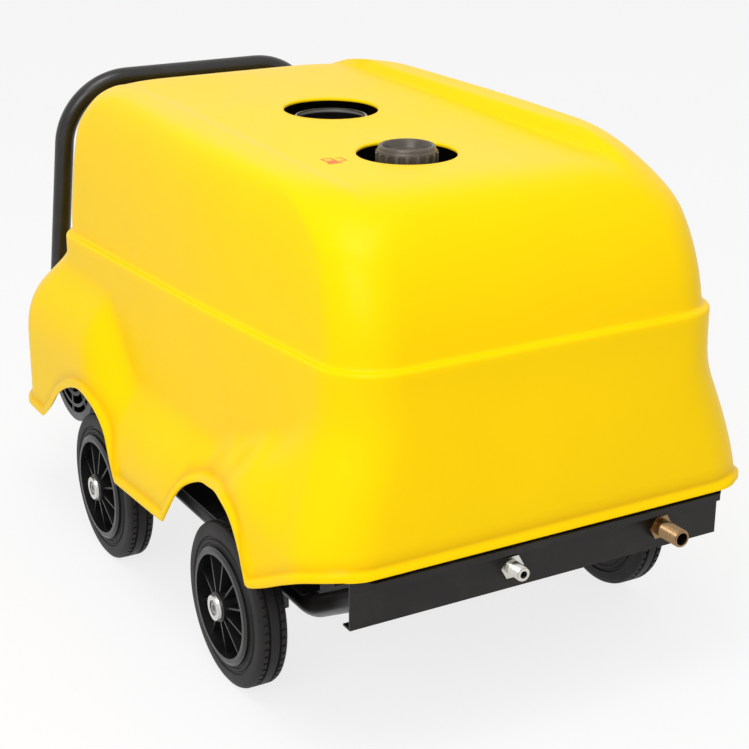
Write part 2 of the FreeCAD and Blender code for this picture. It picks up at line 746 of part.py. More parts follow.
def make_rim():
    half = TYRE_W / 2
    bore = TYRE_BORE_R - RIM_WALL
    barrel = turned([(-half, bore), (-half, TYRE_BORE_R), (half, TYRE_BORE_R), (half, RIM_FLANGE_R),
                     (half + RIM_FLANGE_T, RIM_FLANGE_R), (half + RIM_PROUD, TYRE_BORE_R),
                     (half + RIM_PROUD, bore)])
    web = turned([(0, HUB_R - 1), (0, bore + 1), (RIM_WEB_T, bore + 1), (RIM_WEB_T, HUB_R - 1)])
    hub = turned([(-HUB_IN, BUSH_R), (-HUB_IN, HUB_R - 3), (0, HUB_R), (HUB_OUT - 3, HUB_R),
                  (HUB_OUT, HUB_R - 2),
                  (HUB_OUT, BUSH_R)])
    ribs = []
    for k in range(RIM_RIBS):
        corners = [(RIM_WEB_T - 1, HUB_R - 1), (HUB_OUT - 7, HUB_R - 1), (half - 3, bore + 1),
                   (RIM_WEB_T - 1, bore + 1)]
        back = [(1, HUB_R - 2), (-HUB_IN + 7, HUB_R - 4), (-half + 4, bore + 1), (1, bore + 1)]
        for outline in (corners, back):
            face = Part.Face(Part.makePolygon([Vector(x, -RIM_RIB_T / 2, r) for x,
                                               r in outline + outline[:1]]))
            rib = face.extrude(Vector(0, RIM_RIB_T, 0))
            rib.rotate(Vector(0, 0, 0), Vector(1, 0, 0), 360.0 * k / RIM_RIBS)
            ribs.append(rib)
    return joined([barrel, web, hub] + ribs)


def make_hub_ring():
    bore = AXLE_R + AXLE_RUNNING
    face = HUB_OUT + BUSH_FLANGE_T
    recess = END_SCREW_R + SCREW_CLEARANCE
    return turned([(-HUB_IN, bore), (-HUB_IN, BUSH_R), (HUB_OUT, BUSH_R), (HUB_OUT, BUSH_FLANGE_R),
                   (face, BUSH_FLANGE_R - 1), (face, recess), (HUB_OUT, recess), (HUB_OUT, bore)])


WHEELS = {"front_left": (-1, FRONT_AXLE_Y), "front_right": (1, FRONT_AXLE_Y),
          "rear_left": (-1, REAR_AXLE_Y), "rear_right": (1, REAR_AXLE_Y)}
wheel_pieces = {"tyre": make_tyre(), "rim": make_rim(), "hub_ring": make_hub_ring()}
for place, (side, y) in WHEELS.items():
    for piece, shape in wheel_pieces.items():
        own = shape.copy() if side > 0 else mirrored(shape)
        own.translate(Vector(side * WHEEL_MID_X, y, AXLE_Z))
        save(place + "_" + piece, own)


def make_axle(y):
    collar_end = WHEEL_MID_X - HUB_IN - GAP
    rod = cyl(AXLE_R, (-HUB_FACE_X, y, AXLE_Z), (1, 0, 0), 2 * HUB_FACE_X)
    collars = [cyl(COLLAR_R, (collar_end - COLLAR_L, y, AXLE_Z), (1, 0, 0), COLLAR_L),
               cyl(COLLAR_R, (-collar_end, y, AXLE_Z), (1, 0, 0), COLLAR_L)]
    return joined([rod] + collars)


save("front_axle", make_axle(FRONT_AXLE_Y))
save("rear_axle", make_axle(REAR_AXLE_Y))
end_screws = []
for side, y in WHEELS.values():
    start = HUB_FACE_X if side > 0 else -HUB_FACE_X - END_SCREW_T
    screw = cyl(END_SCREW_R, (start, y, AXLE_Z), (1, 0, 0), END_SCREW_T)
    socket_start = HUB_FACE_X + 1 if side > 0 else -HUB_FACE_X - END_SCREW_T - 1
    end_screws.append(screw.cut(hexagon(END_SCREW_SOCKET_AF, (socket_start, y, AXLE_Z), "x", END_SCREW_T)))
save("axle_end_screws", Part.Compound(end_screws))


# Hood: a skirt with flared wheel housings below the belt, and a narrower cab above it

def ease(t):
    t = max(0.0, min(1.0, t))
    return t * t * (3 - 2 * t)


def at(stations, y):
    """The value at y, eased from one station to the next."""
    if y <= stations[0][0]:
        return stations[0][1]
    for (y0, v0), (y1, v1) in zip(stations, stations[1:]):
        if y <= y1:
            return v0 + (v1 - v0) * ease((y - y0) / (y1 - y0))
    return stations[-1][1]


def skirt_half(y, z):
    base = at(BELT_HALF, y)
    t = (at(FLARE_TOP, y) - z) / (at(FLARE_TOP, y) - at(FLARE_FULL, y))
    t = max(0.0, min(1.0, t))
    soft = t * t / (2 * FLARE_FOLD) if t < FLARE_FOLD else t - FLARE_FOLD / 2
    swell = 1 - (1 - soft / (1 - FLARE_FOLD / 2)) ** at(FLARE_BULGE, y)
    return base + (at(FLARE_HALF, y) - base) * swell


def skirt_front(z):
    return SKIRT_FRONT_Y - SKIRT_NOSE * ease((CAB_FOOT_Z - z) / SKIRT_NOSE_DROP)


def skirt_rear(z):
    t = max(0.0, min(1.0, (SKIRT_TAIL_Z - z) / SKIRT_TAIL_DROP))
    top = CAB_REAR_Y + BELT_LEDGE
    return top + (SKIRT_TAIL_Y - top) * (1 - (1 - t) ** 3)


def cab_rise(z):
    return max(0.0, min(1.0, (z - CAB_FOOT_Z) / (ROOF_RIDGE_Z - CAB_FOOT_Z)))


def cab_half(y, z):
    t = cab_rise(z)
    shoulder = 1 - (1 - t ** 3) ** (1 / 3)
    return at(CAB_HALF, y) - at(CAB_LEAN, y) * t - CAB_SHOULDER * shoulder


def cab_front(z):
    return CAB_FRONT_Y + CAB_BROW * (1 - math.sqrt(1 - cab_rise(z) ** 2))


def cab_rear(z):
    t = cab_rise(z)
    shoulder = 1 - (1 - t ** 3) ** (1 / 3)
    return CAB_REAR_Y - CAB_REAR_LEAN * t - CAB_REAR_SHOULDER * shoulder - CAB_REAR_EDGE * t ** 20


def cab_corner(z):
    return CAB_CORNER_R + CAB_CORNER_GROWTH * ease((z - CAB_CORNER_Z) / (ROOF_RIDGE_Z - CAB_CORNER_Z))


def plan(z, half, y_front, y_rear, r_front, r_rear, grow):
    """A closed smooth outline at height z, grown sideways by grow."""
    y_front -= grow
    y_rear += grow
    half_front = half(y_front + r_front, z) + grow
    half_rear = half(y_rear - r_rear, z) + grow
    right = [(k * (half_front - r_front), y_front) for k in (0, 0.5)]
    quarter = [math.pi / 8 * k for k in range(5)]
    right += [(half_front - r_front + r_front * math.sin(a),
               y_front + r_front - r_front * math.cos(a)) for a in quarter]
    side_steps = 20
    run = y_rear - r_rear - y_front - r_front
    for k in range(1, side_steps):
        y = y_front + r_front + run * k / side_steps
        right.append((half(y, z) + grow, y))
    right += [(half_rear - r_rear + r_rear * math.cos(a),
               y_rear - r_rear + r_rear * math.sin(a)) for a in quarter]
    right += [(k * (half_rear - r_rear), y_rear) for k in (0.5, 0)]
    outline = right + [(-x, y) for x, y in reversed(right[1:-1])]
    return [Vector(x, y, z) for x, y in outline]


def lofted(outlines):
    """A solid through closed outlines that share the parameters of the first one."""
    first = outlines[0] + outlines[0][:1]
    run = [0.0]
    for a, b in zip(first, first[1:]):
        run.append(run[-1] + (b - a).Length)
    wires = []
    for outline in outlines:
        curve = Part.BSplineCurve()
        curve.interpolate(Points=outline, PeriodicFlag=True, Parameters=[step / run[-1] for step in run])
        wires.append(Part.Wire([curve.toShape()]))
    return Part.makeLoft(wires, True, False)


SKIRT_LEVELS = [150, 190, 235, 280, 320, 360, 400, 440, 480, 530, 610]
CAB_LEVELS = [470, CAB_FOOT_Z, 590, 640, 685, 720, 748, 766, 776, ROOF_RIDGE_Z]


def skirt_solid(grow):
    corners = (SKIRT_FRONT_CORNER_R, SKIRT_REAR_CORNER_R)
    outlines = [plan(z, skirt_half, skirt_front(z), skirt_rear(z), *corners, grow) for z in SKIRT_LEVELS]
    return lofted(outlines)


def cab_solid(grow):
    outlines = [plan(z, cab_half, cab_front(z), cab_rear(z), cab_corner(z), cab_corner(z),
                     grow) for z in CAB_LEVELS]
    cab = lofted(outlines)
    cab.translate(Vector(0, 0, min(grow, 0)))
    panel_z = ROOF_PANEL_Z + grow
    half = ROOF_PANEL_HALF - grow
    return cab.cut(box(-half, half, -700, 900, panel_z, panel_z + 200))


def below_belt(drop):
    front, rear = -700.0, 900.0
    z_front = BELT_FRONT_Z - BELT_FALL * (front - BELT_Y) - drop
    z_rear = BELT_FRONT_Z - BELT_FALL * (rear - BELT_Y) - drop
    side = Part.makePolygon([Vector(-500, front, 50), Vector(-500, rear, 50), Vector(-500, rear, z_rear),
                             Vector(-500, front, z_front), Vector(-500, front, 50)])
    return Part.Face(side).extrude(Vector(1000, 0, 0))


def hem_curve(points):
    curve = Part.BSplineCurve()
    curve.interpolate([Vector(-500, y, z) for y, z in points])
    return curve.toShape()


def lifted(points, lift):
    """Hem points moved up and into the hood by lift, square to the hem."""
    out = []
    for k, (y, z) in enumerate(points):
        y0, z0 = points[max(k - 1, 0)]
        y1, z1 = points[min(k + 1, len(points) - 1)]
        run = math.hypot(y1 - y0, z1 - z0)
        out.append((y + (z1 - z0) / run * lift, z - (y1 - y0) / run * lift))
    return out


def below_hem(lift):
    """Everything under the hem line, lifted by lift."""
    floor_z = 60.0
    tail = (900.0, HEM_TAIL_Z + lift)
    nose = (-700.0, HEM_TOE[-1][1] + lift)
    arches = [lifted(REAR_ARCH, lift), lifted(FRONT_ARCH, lift), lifted(HEM_TOE, lift)]
    edges = [Part.makeLine(Vector(-500, *tail), Vector(-500, *arches[0][0]))]
    for k, arch in enumerate(arches):
        edges.append(hem_curve(arch))
        after = arches[k + 1][0] if k < 2 else nose
        edges.append(Part.makeLine(Vector(-500, *arch[-1]), Vector(-500, *after)))
    edges.append(Part.makeLine(Vector(-500, *nose), Vector(-500, nose[0], floor_z)))
    edges.append(Part.makeLine(Vector(-500, nose[0], floor_z), Vector(-500, tail[0], floor_z)))
    edges.append(Part.makeLine(Vector(-500, tail[0], floor_z), Vector(-500, *tail)))
    return Part.Face(Part.Wire(edges)).extrude(Vector(1000, 0, 0))


def make_hood():
    outer = skirt_solid(0).common(below_belt(0)).fuse(cab_solid(0))
    inner_skirt = skirt_solid(-HOOD_WALL)
    inner = inner_skirt.common(below_belt(HOOD_WALL)).fuse(cab_solid(-HOOD_WALL))
    shell = outer.cut(inner).cut(below_hem(0))
    roll = skirt_solid(HEM_ROLL).cut(inner_skirt).common(below_hem(HEM_BAND)).cut(below_hem(0))
    hood = shell.fuse(roll)
    hood = hood.cut(cyl(FLUE_HOLE_R, (0, FLUE_Y, ROOF_PANEL_Z - 50), (0, 0, 1), 100))
    hood = hood.cut(cyl(FILLER_HOLE_R, (FILLER_X, FILLER_Y, ROOF_PANEL_Z - 50), (0, 0, 1), 100))
    return hood.cut(box(-WINDOW_HALF, WINDOW_HALF, CAB_REAR_Y - 80, CAB_REAR_Y + 80, WINDOW_Z0, WINDOW_Z1))


def slabs(hood):
    """The moulding as slabs that meet face to face, none of which bridges an arch, a hole or the bay."""
    below, above = sliced([hood], "z", [SLAB_ROOF_Z])
    walls = sliced([below], "x", [-SLAB_SIDE_X, SLAB_SIDE_X])
    pieces = sliced(inside(walls, "x", -SLAB_SIDE_X, SLAB_SIDE_X), "z", SLAB_MIDDLE_CUTS)
    for side in (inside(walls, "x", -FAR, -SLAB_SIDE_X), inside(walls, "x", SLAB_SIDE_X, FAR)):
        bands = sliced(side, "z", [start for start, _, _ in SLAB_SIDE_CUTS[1:]])
        for start, end, cuts in SLAB_SIDE_CUTS:
            pieces += sliced(inside(bands, "z", start, end), "y", cuts)
    roof = sliced([above], "x", [-ROOF_PANEL_HALF, ROOF_PANEL_HALF])
    for rim in (inside(roof, "x", -FAR, -ROOF_PANEL_HALF), inside(roof, "x", ROOF_PANEL_HALF, FAR)):
        pieces += sliced(rim, "y", SLAB_RIM_CUTS)
    half = SLAB_RING_HALF
    holes = [(FILLER_X, FILLER_Y), (0.0, FLUE_Y)]
    panel = inside(roof, "x", -ROOF_PANEL_HALF, ROOF_PANEL_HALF)
    panel = sliced(panel, "y", [y + reach for _, y in holes for reach in (-half, half)])
    for x, y in holes:
        across = sliced(inside(panel, "y", y - half, y + half), "x", [x - half, x + half])
        panel = [piece for piece in panel if not y - half < piece.CenterOfMass.y < y + half]
        panel += [piece for piece in across if not x - half < piece.CenterOfMass.x < x + half]
        pieces += wedged(inside(across, "x", x - half, x + half), x, y, SLAB_WEDGES)
    return pieces + panel


save("hood", Part.Compound(slabs(make_hood())))


# Boiler, coil and flue

boiler = pipe(BOILER_R, BOILER_R - BOILER_WALL, (0, FLUE_Y, BOILER_Z0), (0, 0, 1), BOILER_H)
boiler = boiler.fuse(cyl(BOILER_R, (0, FLUE_Y, BOILER_Z0), (0, 0, 1), BOILER_WALL))
for turn in (90, 210, 330):
    a = math.radians(turn)
    reach = BOILER_R - BOILER_FOOT_INSET
    foot = (reach * math.cos(a), FLUE_Y + reach * math.sin(a), TRAY_TOP)
    boiler = boiler.fuse(cyl(BOILER_FOOT_R, foot, (0, 0, 1), BOILER_FOOT))
boiler = boiler.cut(cyl(BLAST_R, (0, FLUE_Y - BOILER_R - BLAST_REACH, BURNER_Z), (0, 1, 0),
                        2 * BLAST_REACH))
boiler = boiler.cut(cyl(PIPE_R + GAP, (COIL_R, FLUE_Y, COIL_START_Z), (0, -1, 0), BOILER_R))
boiler = boiler.cut(cyl(PIPE_R + GAP, (COIL_R, FLUE_Y, COIL_END_Z), (0, 1, 0), BOILER_R))
save("boiler_shell", boiler)

lid_foot = Vector(0, FLUE_Y, BOILER_Z1 + BOILER_WALL)
lid = cyl(BOILER_R, (0, FLUE_Y, BOILER_Z1), (0, 0, 1), BOILER_WALL)
lid = lid.fuse(Part.makeCone(BOILER_R - LID_EDGE, FLUE_R + LID_EDGE, LID_H, lid_foot, Vector(0, 0, 1)))
lid = lid.cut(cyl(FLUE_R, (0, FLUE_Y, BOILER_Z1 - 1), (0, 0, 1), 2 * LID_H))
under_r = BOILER_R - LID_EDGE - LID_WALL
under_top_r = FLUE_R + LID_EDGE - LID_WALL
lid = lid.cut(Part.makeCone(under_r, under_top_r, LID_H - LID_WALL, lid_foot, Vector(0, 0, 1)))
save("boiler_lid", lid)

flue_foot = BOILER_Z1 + BOILER_WALL + LID_H - FLUE_LAP
flue = pipe(FLUE_R, FLUE_R - FLUE_WALL, (0, FLUE_Y, flue_foot), (0, 0, 1), FLUE_TOP_Z - flue_foot)
bead_z = FLUE_TOP_Z - FLUE_BEAD_R
bead = Part.makeTorus(FLUE_R - FLUE_WALL + FLUE_BEAD_R, FLUE_BEAD_R, Vector(0, FLUE_Y, bead_z),
                      Vector(0, 0, 1))
save("flue_pipe", flue.fuse(bead).removeSplitter())


def make_heating_coil():
    """One tube in a rising helix."""
    helix = Part.makeHelix(COIL_PITCH, COIL_PITCH * COIL_TURNS, COIL_R)
    start = helix.Edges[0].valueAt(helix.Edges[0].FirstParameter)
    ring = Part.makeCircle(COIL_TUBE_R, start, Vector(0, 1, COIL_PITCH / (2 * math.pi * COIL_R)))
    coil = helix.makePipeShell([Part.Wire(ring)], True, True)
    coil.translate(Vector(0, FLUE_Y, COIL_START_Z))
    return coil


coil_bars = []
for turn in (60, 180, 300):
    a = math.radians(turn)
    reach = COIL_R + COIL_TUBE_R + COIL_BAR_R - COIL_BAR_BITE
    foot = (reach * math.cos(a), FLUE_Y + reach * math.sin(a), BOILER_Z0 + BOILER_WALL)
    coil_bars.append(cyl(COIL_BAR_R, foot, (0, 0, 1), BOILER_H - BOILER_WALL))
save("heating_coil", make_heating_coil().multiFuse(coil_bars))

# Burner: blower scroll with its axis along X, blowing rearwards into the boiler

flange_y = FLUE_Y - BOILER_R - BLAST_FLANGE_T
blast_start = BURNER_Y + SCROLL_R - BLAST_LAP
blast_end = FLUE_Y - BOILER_R + BLAST_REACH
blast = pipe(BLAST_R, BLAST_R - BLAST_WALL, (0, blast_start, BURNER_Z), (0, 1, 0), blast_end - blast_start)
blast_flange = pipe(BLAST_R + BLAST_FLANGE_W, BLAST_R - BLAST_WALL,
                    (0, flange_y - BLAST_FLANGE_T, BURNER_Z), (0, 1, 0),
                    BLAST_FLANGE_T)
save("blast_tube", blast.fuse(blast_flange))

mouth = BLAST_R + SCROLL_MOUTH_WALL
mouth_y = flange_y - BLAST_FLANGE_T - SCROLL_MOUTH_GAP
scroll = cyl(SCROLL_R, (-SCROLL_HALF, BURNER_Y, BURNER_Z), (1, 0, 0), 2 * SCROLL_HALF)
scroll = scroll.fuse(box(-SCROLL_HALF, SCROLL_HALF, BURNER_Y, mouth_y, BURNER_Z - mouth, BURNER_Z + mouth))
inner_half = SCROLL_HALF - SCROLL_WALL
scroll = scroll.cut(cyl(SCROLL_R - SCROLL_WALL, (-inner_half, BURNER_Y, BURNER_Z), (1, 0, 0),
                        2 * inner_half))
scroll = scroll.cut(cyl(BLAST_R, (0, BURNER_Y + SCROLL_R / 2, BURNER_Z), (0, 1, 0), 2 * SCROLL_R))
scroll = scroll.cut(cyl(BURNER_SHAFT_R + BURNER_SHAFT_CLEARANCE, (0, BURNER_Y, BURNER_Z), (1, 0, 0),
                        2 * SCROLL_HALF))
air_bore = AIR_INLET_R - AIR_INLET_WALL
air_x = -SCROLL_HALF - AIR_INLET_L
scroll = scroll.fuse(pipe(AIR_INLET_R, air_bore, (air_x, BURNER_Y, BURNER_Z), (1, 0, 0), AIR_INLET_L))
scroll = scroll.cut(cyl(air_bore, (air_x - 1, BURNER_Y, BURNER_Z), (1, 0, 0),
                        AIR_INLET_L + 2 * SCROLL_WALL))
foot_y = BURNER_Y - SCROLL_FOOT_LEN / 2
scroll = scroll.fuse(box(-SCROLL_FOOT_HALF, SCROLL_FOOT_HALF, foot_y, foot_y + SCROLL_FOOT_LEN, TRAY_TOP,
                         BURNER_Z - SCROLL_R + 2 * SCROLL_WALL))
save("burner_housing", scroll)

fan_core_r = BURNER_FAN_R - BURNER_FAN_BLADE
plate_x = BURNER_FAN_X1 - BURNER_FAN_PLATE_T
burner_fan = pipe(BURNER_FAN_R, fan_core_r, (BURNER_FAN_X0, BURNER_Y, BURNER_Z), (1, 0, 0),
                  BURNER_FAN_X1 - BURNER_FAN_X0)
blade_gaps = []
for k in range(BURNER_FAN_BLADES):
    gap = box(BURNER_FAN_X0 + BURNER_FAN_PLATE_T, plate_x, BURNER_Y - BURNER_FAN_BLADE / 4,
              BURNER_Y + BURNER_FAN_BLADE / 4,
              BURNER_Z + fan_core_r - 1, BURNER_Z + BURNER_FAN_R + 1)
    gap.rotate(Vector(0, BURNER_Y, BURNER_Z), Vector(1, 0, 0), 360.0 / BURNER_FAN_BLADES * k)
    blade_gaps.append(gap)
burner_fan = burner_fan.cut(Part.Compound(blade_gaps))
burner_fan = burner_fan.fuse(cyl(fan_core_r + 4, (plate_x, BURNER_Y, BURNER_Z), (1, 0, 0),
                                 BURNER_FAN_PLATE_T))
burner_fan = burner_fan.fuse(cyl(BURNER_FAN_HUB_R, (0, BURNER_Y, BURNER_Z), (1, 0, 0), BURNER_FAN_X1))
shaft_l = SCROLL_HALF + BURNER_SHAFT_SEAT
burner_fan = burner_fan.fuse(cyl(BURNER_SHAFT_R, (0, BURNER_Y, BURNER_Z), (1, 0, 0), shaft_l))
save("burner_fan", burner_fan)

burner_motor = cyl(BURNER_MOTOR_R, (SCROLL_HALF, BURNER_Y, BURNER_Z), (1, 0, 0), BURNER_MOTOR_L)
shaft_bore = cyl(BURNER_SHAFT_R + AXLE_RUNNING, (SCROLL_HALF - 1, BURNER_Y, BURNER_Z), (1, 0, 0),
                 BURNER_SHAFT_SEAT + 10)
save("burner_motor", burner_motor.cut(shaft_bore))

transformer = box(TRANSFORMER_X0, TRANSFORMER_X1, TRANSFORMER_Y0, TRANSFORMER_Y1, TRAY_TOP,
                  TRAY_TOP + TRANSFORMER_H)
transformer = transformer.makeFillet(4.0, [e for e in transformer.Edges if e.BoundBox.ZLength > 1])
electrode_z = TRAY_TOP + TRANSFORMER_H / 2 + ELECTRODE_R
for x in (TRANSFORMER_X0 + ELECTRODE_INSET, TRANSFORMER_X1 - ELECTRODE_INSET):
    transformer = transformer.fuse(cyl(ELECTRODE_R, (x, TRANSFORMER_Y1, electrode_z), (0, 1, 0),
                                       ELECTRODE_L))
save("ignition_transformer", transformer)

# Fuel tank on its stand, filler neck and screw cap


def make_leg(x0, y0, top_z):
    leg = box(x0, x0 + LEG, y0, y0 + LEG, TRAY_TOP, top_z)
    return leg.cut(box(x0 + LEG_WALL, x0 + LEG - LEG_WALL, y0 + LEG_WALL, y0 + LEG - LEG_WALL,
                       TRAY_TOP + LEG_WALL, top_z))


plate_foot = TANK_Z0 - STAND_T
stand = box(-TANK_X, TANK_X, TANK_Y0, TANK_Y1, plate_foot, TANK_Z0)
stand = stand.cut(box(-TANK_X + STAND_FRAME_W, TANK_X - STAND_FRAME_W, TANK_Y0 + STAND_FRAME_W,
                      TANK_Y1 - STAND_FRAME_W,
                      plate_foot - 1, TANK_Z0 + 1))
for side in (-1, 1):
    for leg_y in (TRAY_FRONT_Y, TANK_Y1 - LEG):
        stand = stand.fuse(make_leg(side * (TANK_X - LEG / 2) - LEG / 2, leg_y, plate_foot))
save("tank_stand", stand)


def round_topped(x, y0, y1, z0, z1, radius):
    """A block rounded at its uprights and its top."""
    block = box(-x, x, y0, y1, z0, z1)
    edges = [e for e in block.Edges if e.BoundBox.ZMin > z0 + 1 or e.BoundBox.ZLength > 1]
    return block.makeFillet(radius, edges)


tank = round_topped(TANK_X, TANK_Y0, TANK_Y1, TANK_Z0, TANK_Z1, TANK_ROUND)
tank = tank.cut(round_topped(TANK_X - TANK_WALL, TANK_Y0 + TANK_WALL, TANK_Y1 - TANK_WALL,
                             TANK_Z0 + TANK_WALL,
                             TANK_Z1 - TANK_WALL, TANK_ROUND - TANK_WALL))
tank = tank.cut(cyl(NECK_R - NECK_WALL, (FILLER_X, FILLER_Y, TANK_Z1 - 2 * TANK_WALL), (0, 0, 1),
                    3 * TANK_WALL))
tank_floor, tank_walls, tank_roof = sliced([tank], "z", [TANK_Z0 + TANK_SLAB_FOOT, TANK_Z1 - TANK_SLAB_TOP])
tank_side_x = TANK_X - TANK_SLAB_SIDE
mouth = SLAB_MOUTH_HALF
tank_roof = sliced([tank_roof], "y", [FILLER_Y - mouth, FILLER_Y + mouth])
mouth_strip = sliced(inside(tank_roof, "y", FILLER_Y - mouth, FILLER_Y + mouth), "x",
                     [FILLER_X - mouth, FILLER_X + mouth])
mouth_ring = inside(mouth_strip, "x", FILLER_X - mouth, FILLER_X + mouth)
tank_pieces = [tank_floor] + sliced([tank_walls], "x", [-tank_side_x, tank_side_x])
tank_pieces += inside(tank_roof, "y", -FAR, FILLER_Y - mouth) + inside(tank_roof, "y", FILLER_Y + mouth,
                                                                       FAR)
tank_pieces += inside(mouth_strip, "x", -FAR, FILLER_X - mouth) + inside(mouth_strip, "x", FILLER_X + mouth,
                                                                         FAR)
tank_pieces += wedged(mouth_ring, FILLER_X, FILLER_Y, SLAB_WEDGES)
save("fuel_tank", Part.Compound(tank_pieces))

neck_bore = NECK_R - NECK_WALL
neck = pipe(NECK_R, neck_bore, (FILLER_X, FILLER_Y, TANK_Z1), (0, 0, 1), NECK_TOP_Z - TANK_Z1)
neck = neck.fuse(pipe(NECK_R + NECK_FLANGE_W, neck_bore, (FILLER_X, FILLER_Y, TANK_Z1), (0, 0, 1),
                      NECK_FLANGE_T))
for k in range(NECK_THREADS):
    z = NECK_TOP_Z - NECK_THREADS * NECK_THREAD_PITCH - 3 + NECK_THREAD_PITCH * k
    crest_r = NECK_R + NECK_THREAD_H
    ring = Part.makeCone(NECK_R, crest_r, NECK_THREAD_H, Vector(FILLER_X, FILLER_Y, z), Vector(0, 0, 1))
    above = Vector(FILLER_X, FILLER_Y, z + NECK_THREAD_H)
    ring = ring.fuse(Part.makeCone(crest_r, NECK_R, NECK_THREAD_H, above, Vector(0, 0, 1)))
    neck = neck.fuse(ring.cut(cyl(NECK_R - 1, (FILLER_X, FILLER_Y, z - 1), (0, 0, 1), 3 * NECK_THREAD_H)))
save("filler_neck", Part.Compound(wedged([neck], FILLER_X, FILLER_Y, SLAB_WEDGES)))

cap_bore = CAP_SKIRT_R - CAP_WALL
cap_foot = NECK_TOP_Z - CAP_DROP
disc_z = NECK_TOP_Z + SEAL_T
save("fuel_cap_seal", pipe(cap_bore - GAP, neck_bore, (FILLER_X, FILLER_Y, NECK_TOP_Z), (0, 0, 1), SEAL_T))

cap = pipe(CAP_SKIRT_R, cap_bore, (FILLER_X, FILLER_Y, cap_foot), (0, 0, 1), disc_z - cap_foot)
cap = cap.fuse(cyl(CAP_SKIRT_R, (FILLER_X, FILLER_Y, disc_z), (0, 0, 1), CAP_DISC_T))
ring_z = disc_z + CAP_DISC_T
cap = cap.fuse(pipe(CAP_RING_R, CAP_RING_R - CAP_RING_W, (FILLER_X, FILLER_Y, ring_z), (0, 0, 1),
                    CAP_RING_H))
flutes = []
for k in range(CAP_FLUTES):
    a = 2 * math.pi * k / CAP_FLUTES
    reach = CAP_SKIRT_R + CAP_FLUTE_OUT
    foot = (FILLER_X + reach * math.cos(a), FILLER_Y + reach * math.sin(a), cap_foot + CAP_FLUTE_LIFT)
    flutes.append(cyl(CAP_FLUTE_R, foot, (0, 0, 1), CAP_DROP + CAP_RING_H + CAP_FLUTE_LIFT))
save("fuel_cap", cap.cut(Part.Compound(flutes)))

# Electric motor, lying across the machine


def motor_ring(outer, inner, x0, x1):
    return pipe(outer, inner, (x0, MOTOR_Y, SHAFT_Z), (1, 0, 0), x1 - x0)


def around_motor(shape, turn):
    shape.rotate(Vector(0, MOTOR_Y, SHAFT_Z), Vector(1, 0, 0), turn)
    return shape


stator_bore = ROTOR_R + AIR_GAP
end_x0 = MOTOR_X0 + MOTOR_END_T
end_x1 = MOTOR_X1 - MOTOR_END_T
stator = motor_ring(MOTOR_R, stator_bore, end_x0, end_x1)
stator = stator.fuse(motor_ring(MOTOR_R - 4, MOTOR_SHAFT_R + AXLE_RUNNING, MOTOR_X0, end_x0))
stator = stator.fuse(motor_ring(MOTOR_R, MOTOR_SHAFT_R + AXLE_RUNNING, end_x1, MOTOR_X1))
fins = []
for k in range(FINS):
    fin = box(end_x0 + 6, end_x1 - 6, MOTOR_Y - FIN_T / 2, MOTOR_Y + FIN_T / 2, SHAFT_Z + MOTOR_R - 2,
              SHAFT_Z + MOTOR_R + FIN_H)
    fins.append(around_motor(fin, 360.0 * (k + 0.5) / FINS))
for x in (end_x0 + 10, end_x1 - 10 - FOOT_W):
    fins.append(box(x, x + FOOT_W, MOTOR_Y - FOOT_HALF, MOTOR_Y + FOOT_HALF, TRAY_TOP, TRAY_TOP + FOOT_T))
    fins.append(box(x, x + FOOT_W, MOTOR_Y - FOOT_WEB_HALF, MOTOR_Y + FOOT_WEB_HALF, TRAY_TOP,
                    SHAFT_Z - stator_bore - 10))
motor = stator.multiFuse(fins)
save("motor_body", motor.cut(cyl(stator_bore, (end_x0, MOTOR_Y, SHAFT_Z), (1, 0, 0), end_x1 - end_x0)))

shaft_x0 = FAN_X0 - 8
shaft_x1 = MOTOR_X1 + COUPLING_L + 2
shaft = cyl(MOTOR_SHAFT_R, (shaft_x0, MOTOR_Y, SHAFT_Z), (1, 0, 0), shaft_x1 - shaft_x0)
rotor_x0 = end_x0 + ROTOR_END_GAP
rotor_x1 = end_x1 - ROTOR_END_GAP
rotor = cyl(ROTOR_R, (rotor_x0, MOTOR_Y, SHAFT_Z), (1, 0, 0), rotor_x1 - rotor_x0)
save("motor_shaft", shaft.fuse(rotor))

motor_fan = motor_ring(FAN_HUB_R, MOTOR_SHAFT_R, FAN_X0, FAN_X0 + FAN_HUB_L)
disc_x = FAN_X0 + FAN_HUB_L - 2 * FAN_BLADE_T
motor_fan = motor_fan.fuse(motor_ring(FAN_R, FAN_HUB_R - 2, disc_x, disc_x + FAN_BLADE_T))
fan_blades = []
for k in range(FAN_BLADES):
    blade = box(FAN_X0 + 2, disc_x + 2, MOTOR_Y - FAN_BLADE_T / 2, MOTOR_Y + FAN_BLADE_T / 2,
                SHAFT_Z + FAN_HUB_R - 2, SHAFT_Z + FAN_R)
    fan_blades.append(around_motor(blade, 360.0 / FAN_BLADES * k))
save("motor_fan", motor_fan.multiFuse(fan_blades))

cowl_end = MOTOR_X0 + COWL_OVERLAP
cowl = motor_ring(COWL_R, COWL_R - COWL_WALL, COWL_X, cowl_end)
cowl = cowl.fuse(cyl(COWL_R, (COWL_X, MOTOR_Y, SHAFT_Z), (1, 0, 0), COWL_WALL))
slots = [motor_ring(r_out, r_in, COWL_X - 1, COWL_X + COWL_WALL + 1) for r_in, r_out in COWL_SLOTS]
spokes = []
for k in range(COWL_SPOKES):
    spoke = box(COWL_X - 2, COWL_X + COWL_WALL + 2, MOTOR_Y - COWL_SPOKE_W / 2, MOTOR_Y + COWL_SPOKE_W / 2,
                SHAFT_Z + COWL_SLOTS[0][0] / 2, SHAFT_Z + COWL_R - 2 * COWL_WALL)
    spokes.append(around_motor(spoke, 360.0 / COWL_SPOKES * k))
cowl = cowl.cut(Part.Compound(slots).cut(Part.Compound(spokes)))
tabs = []
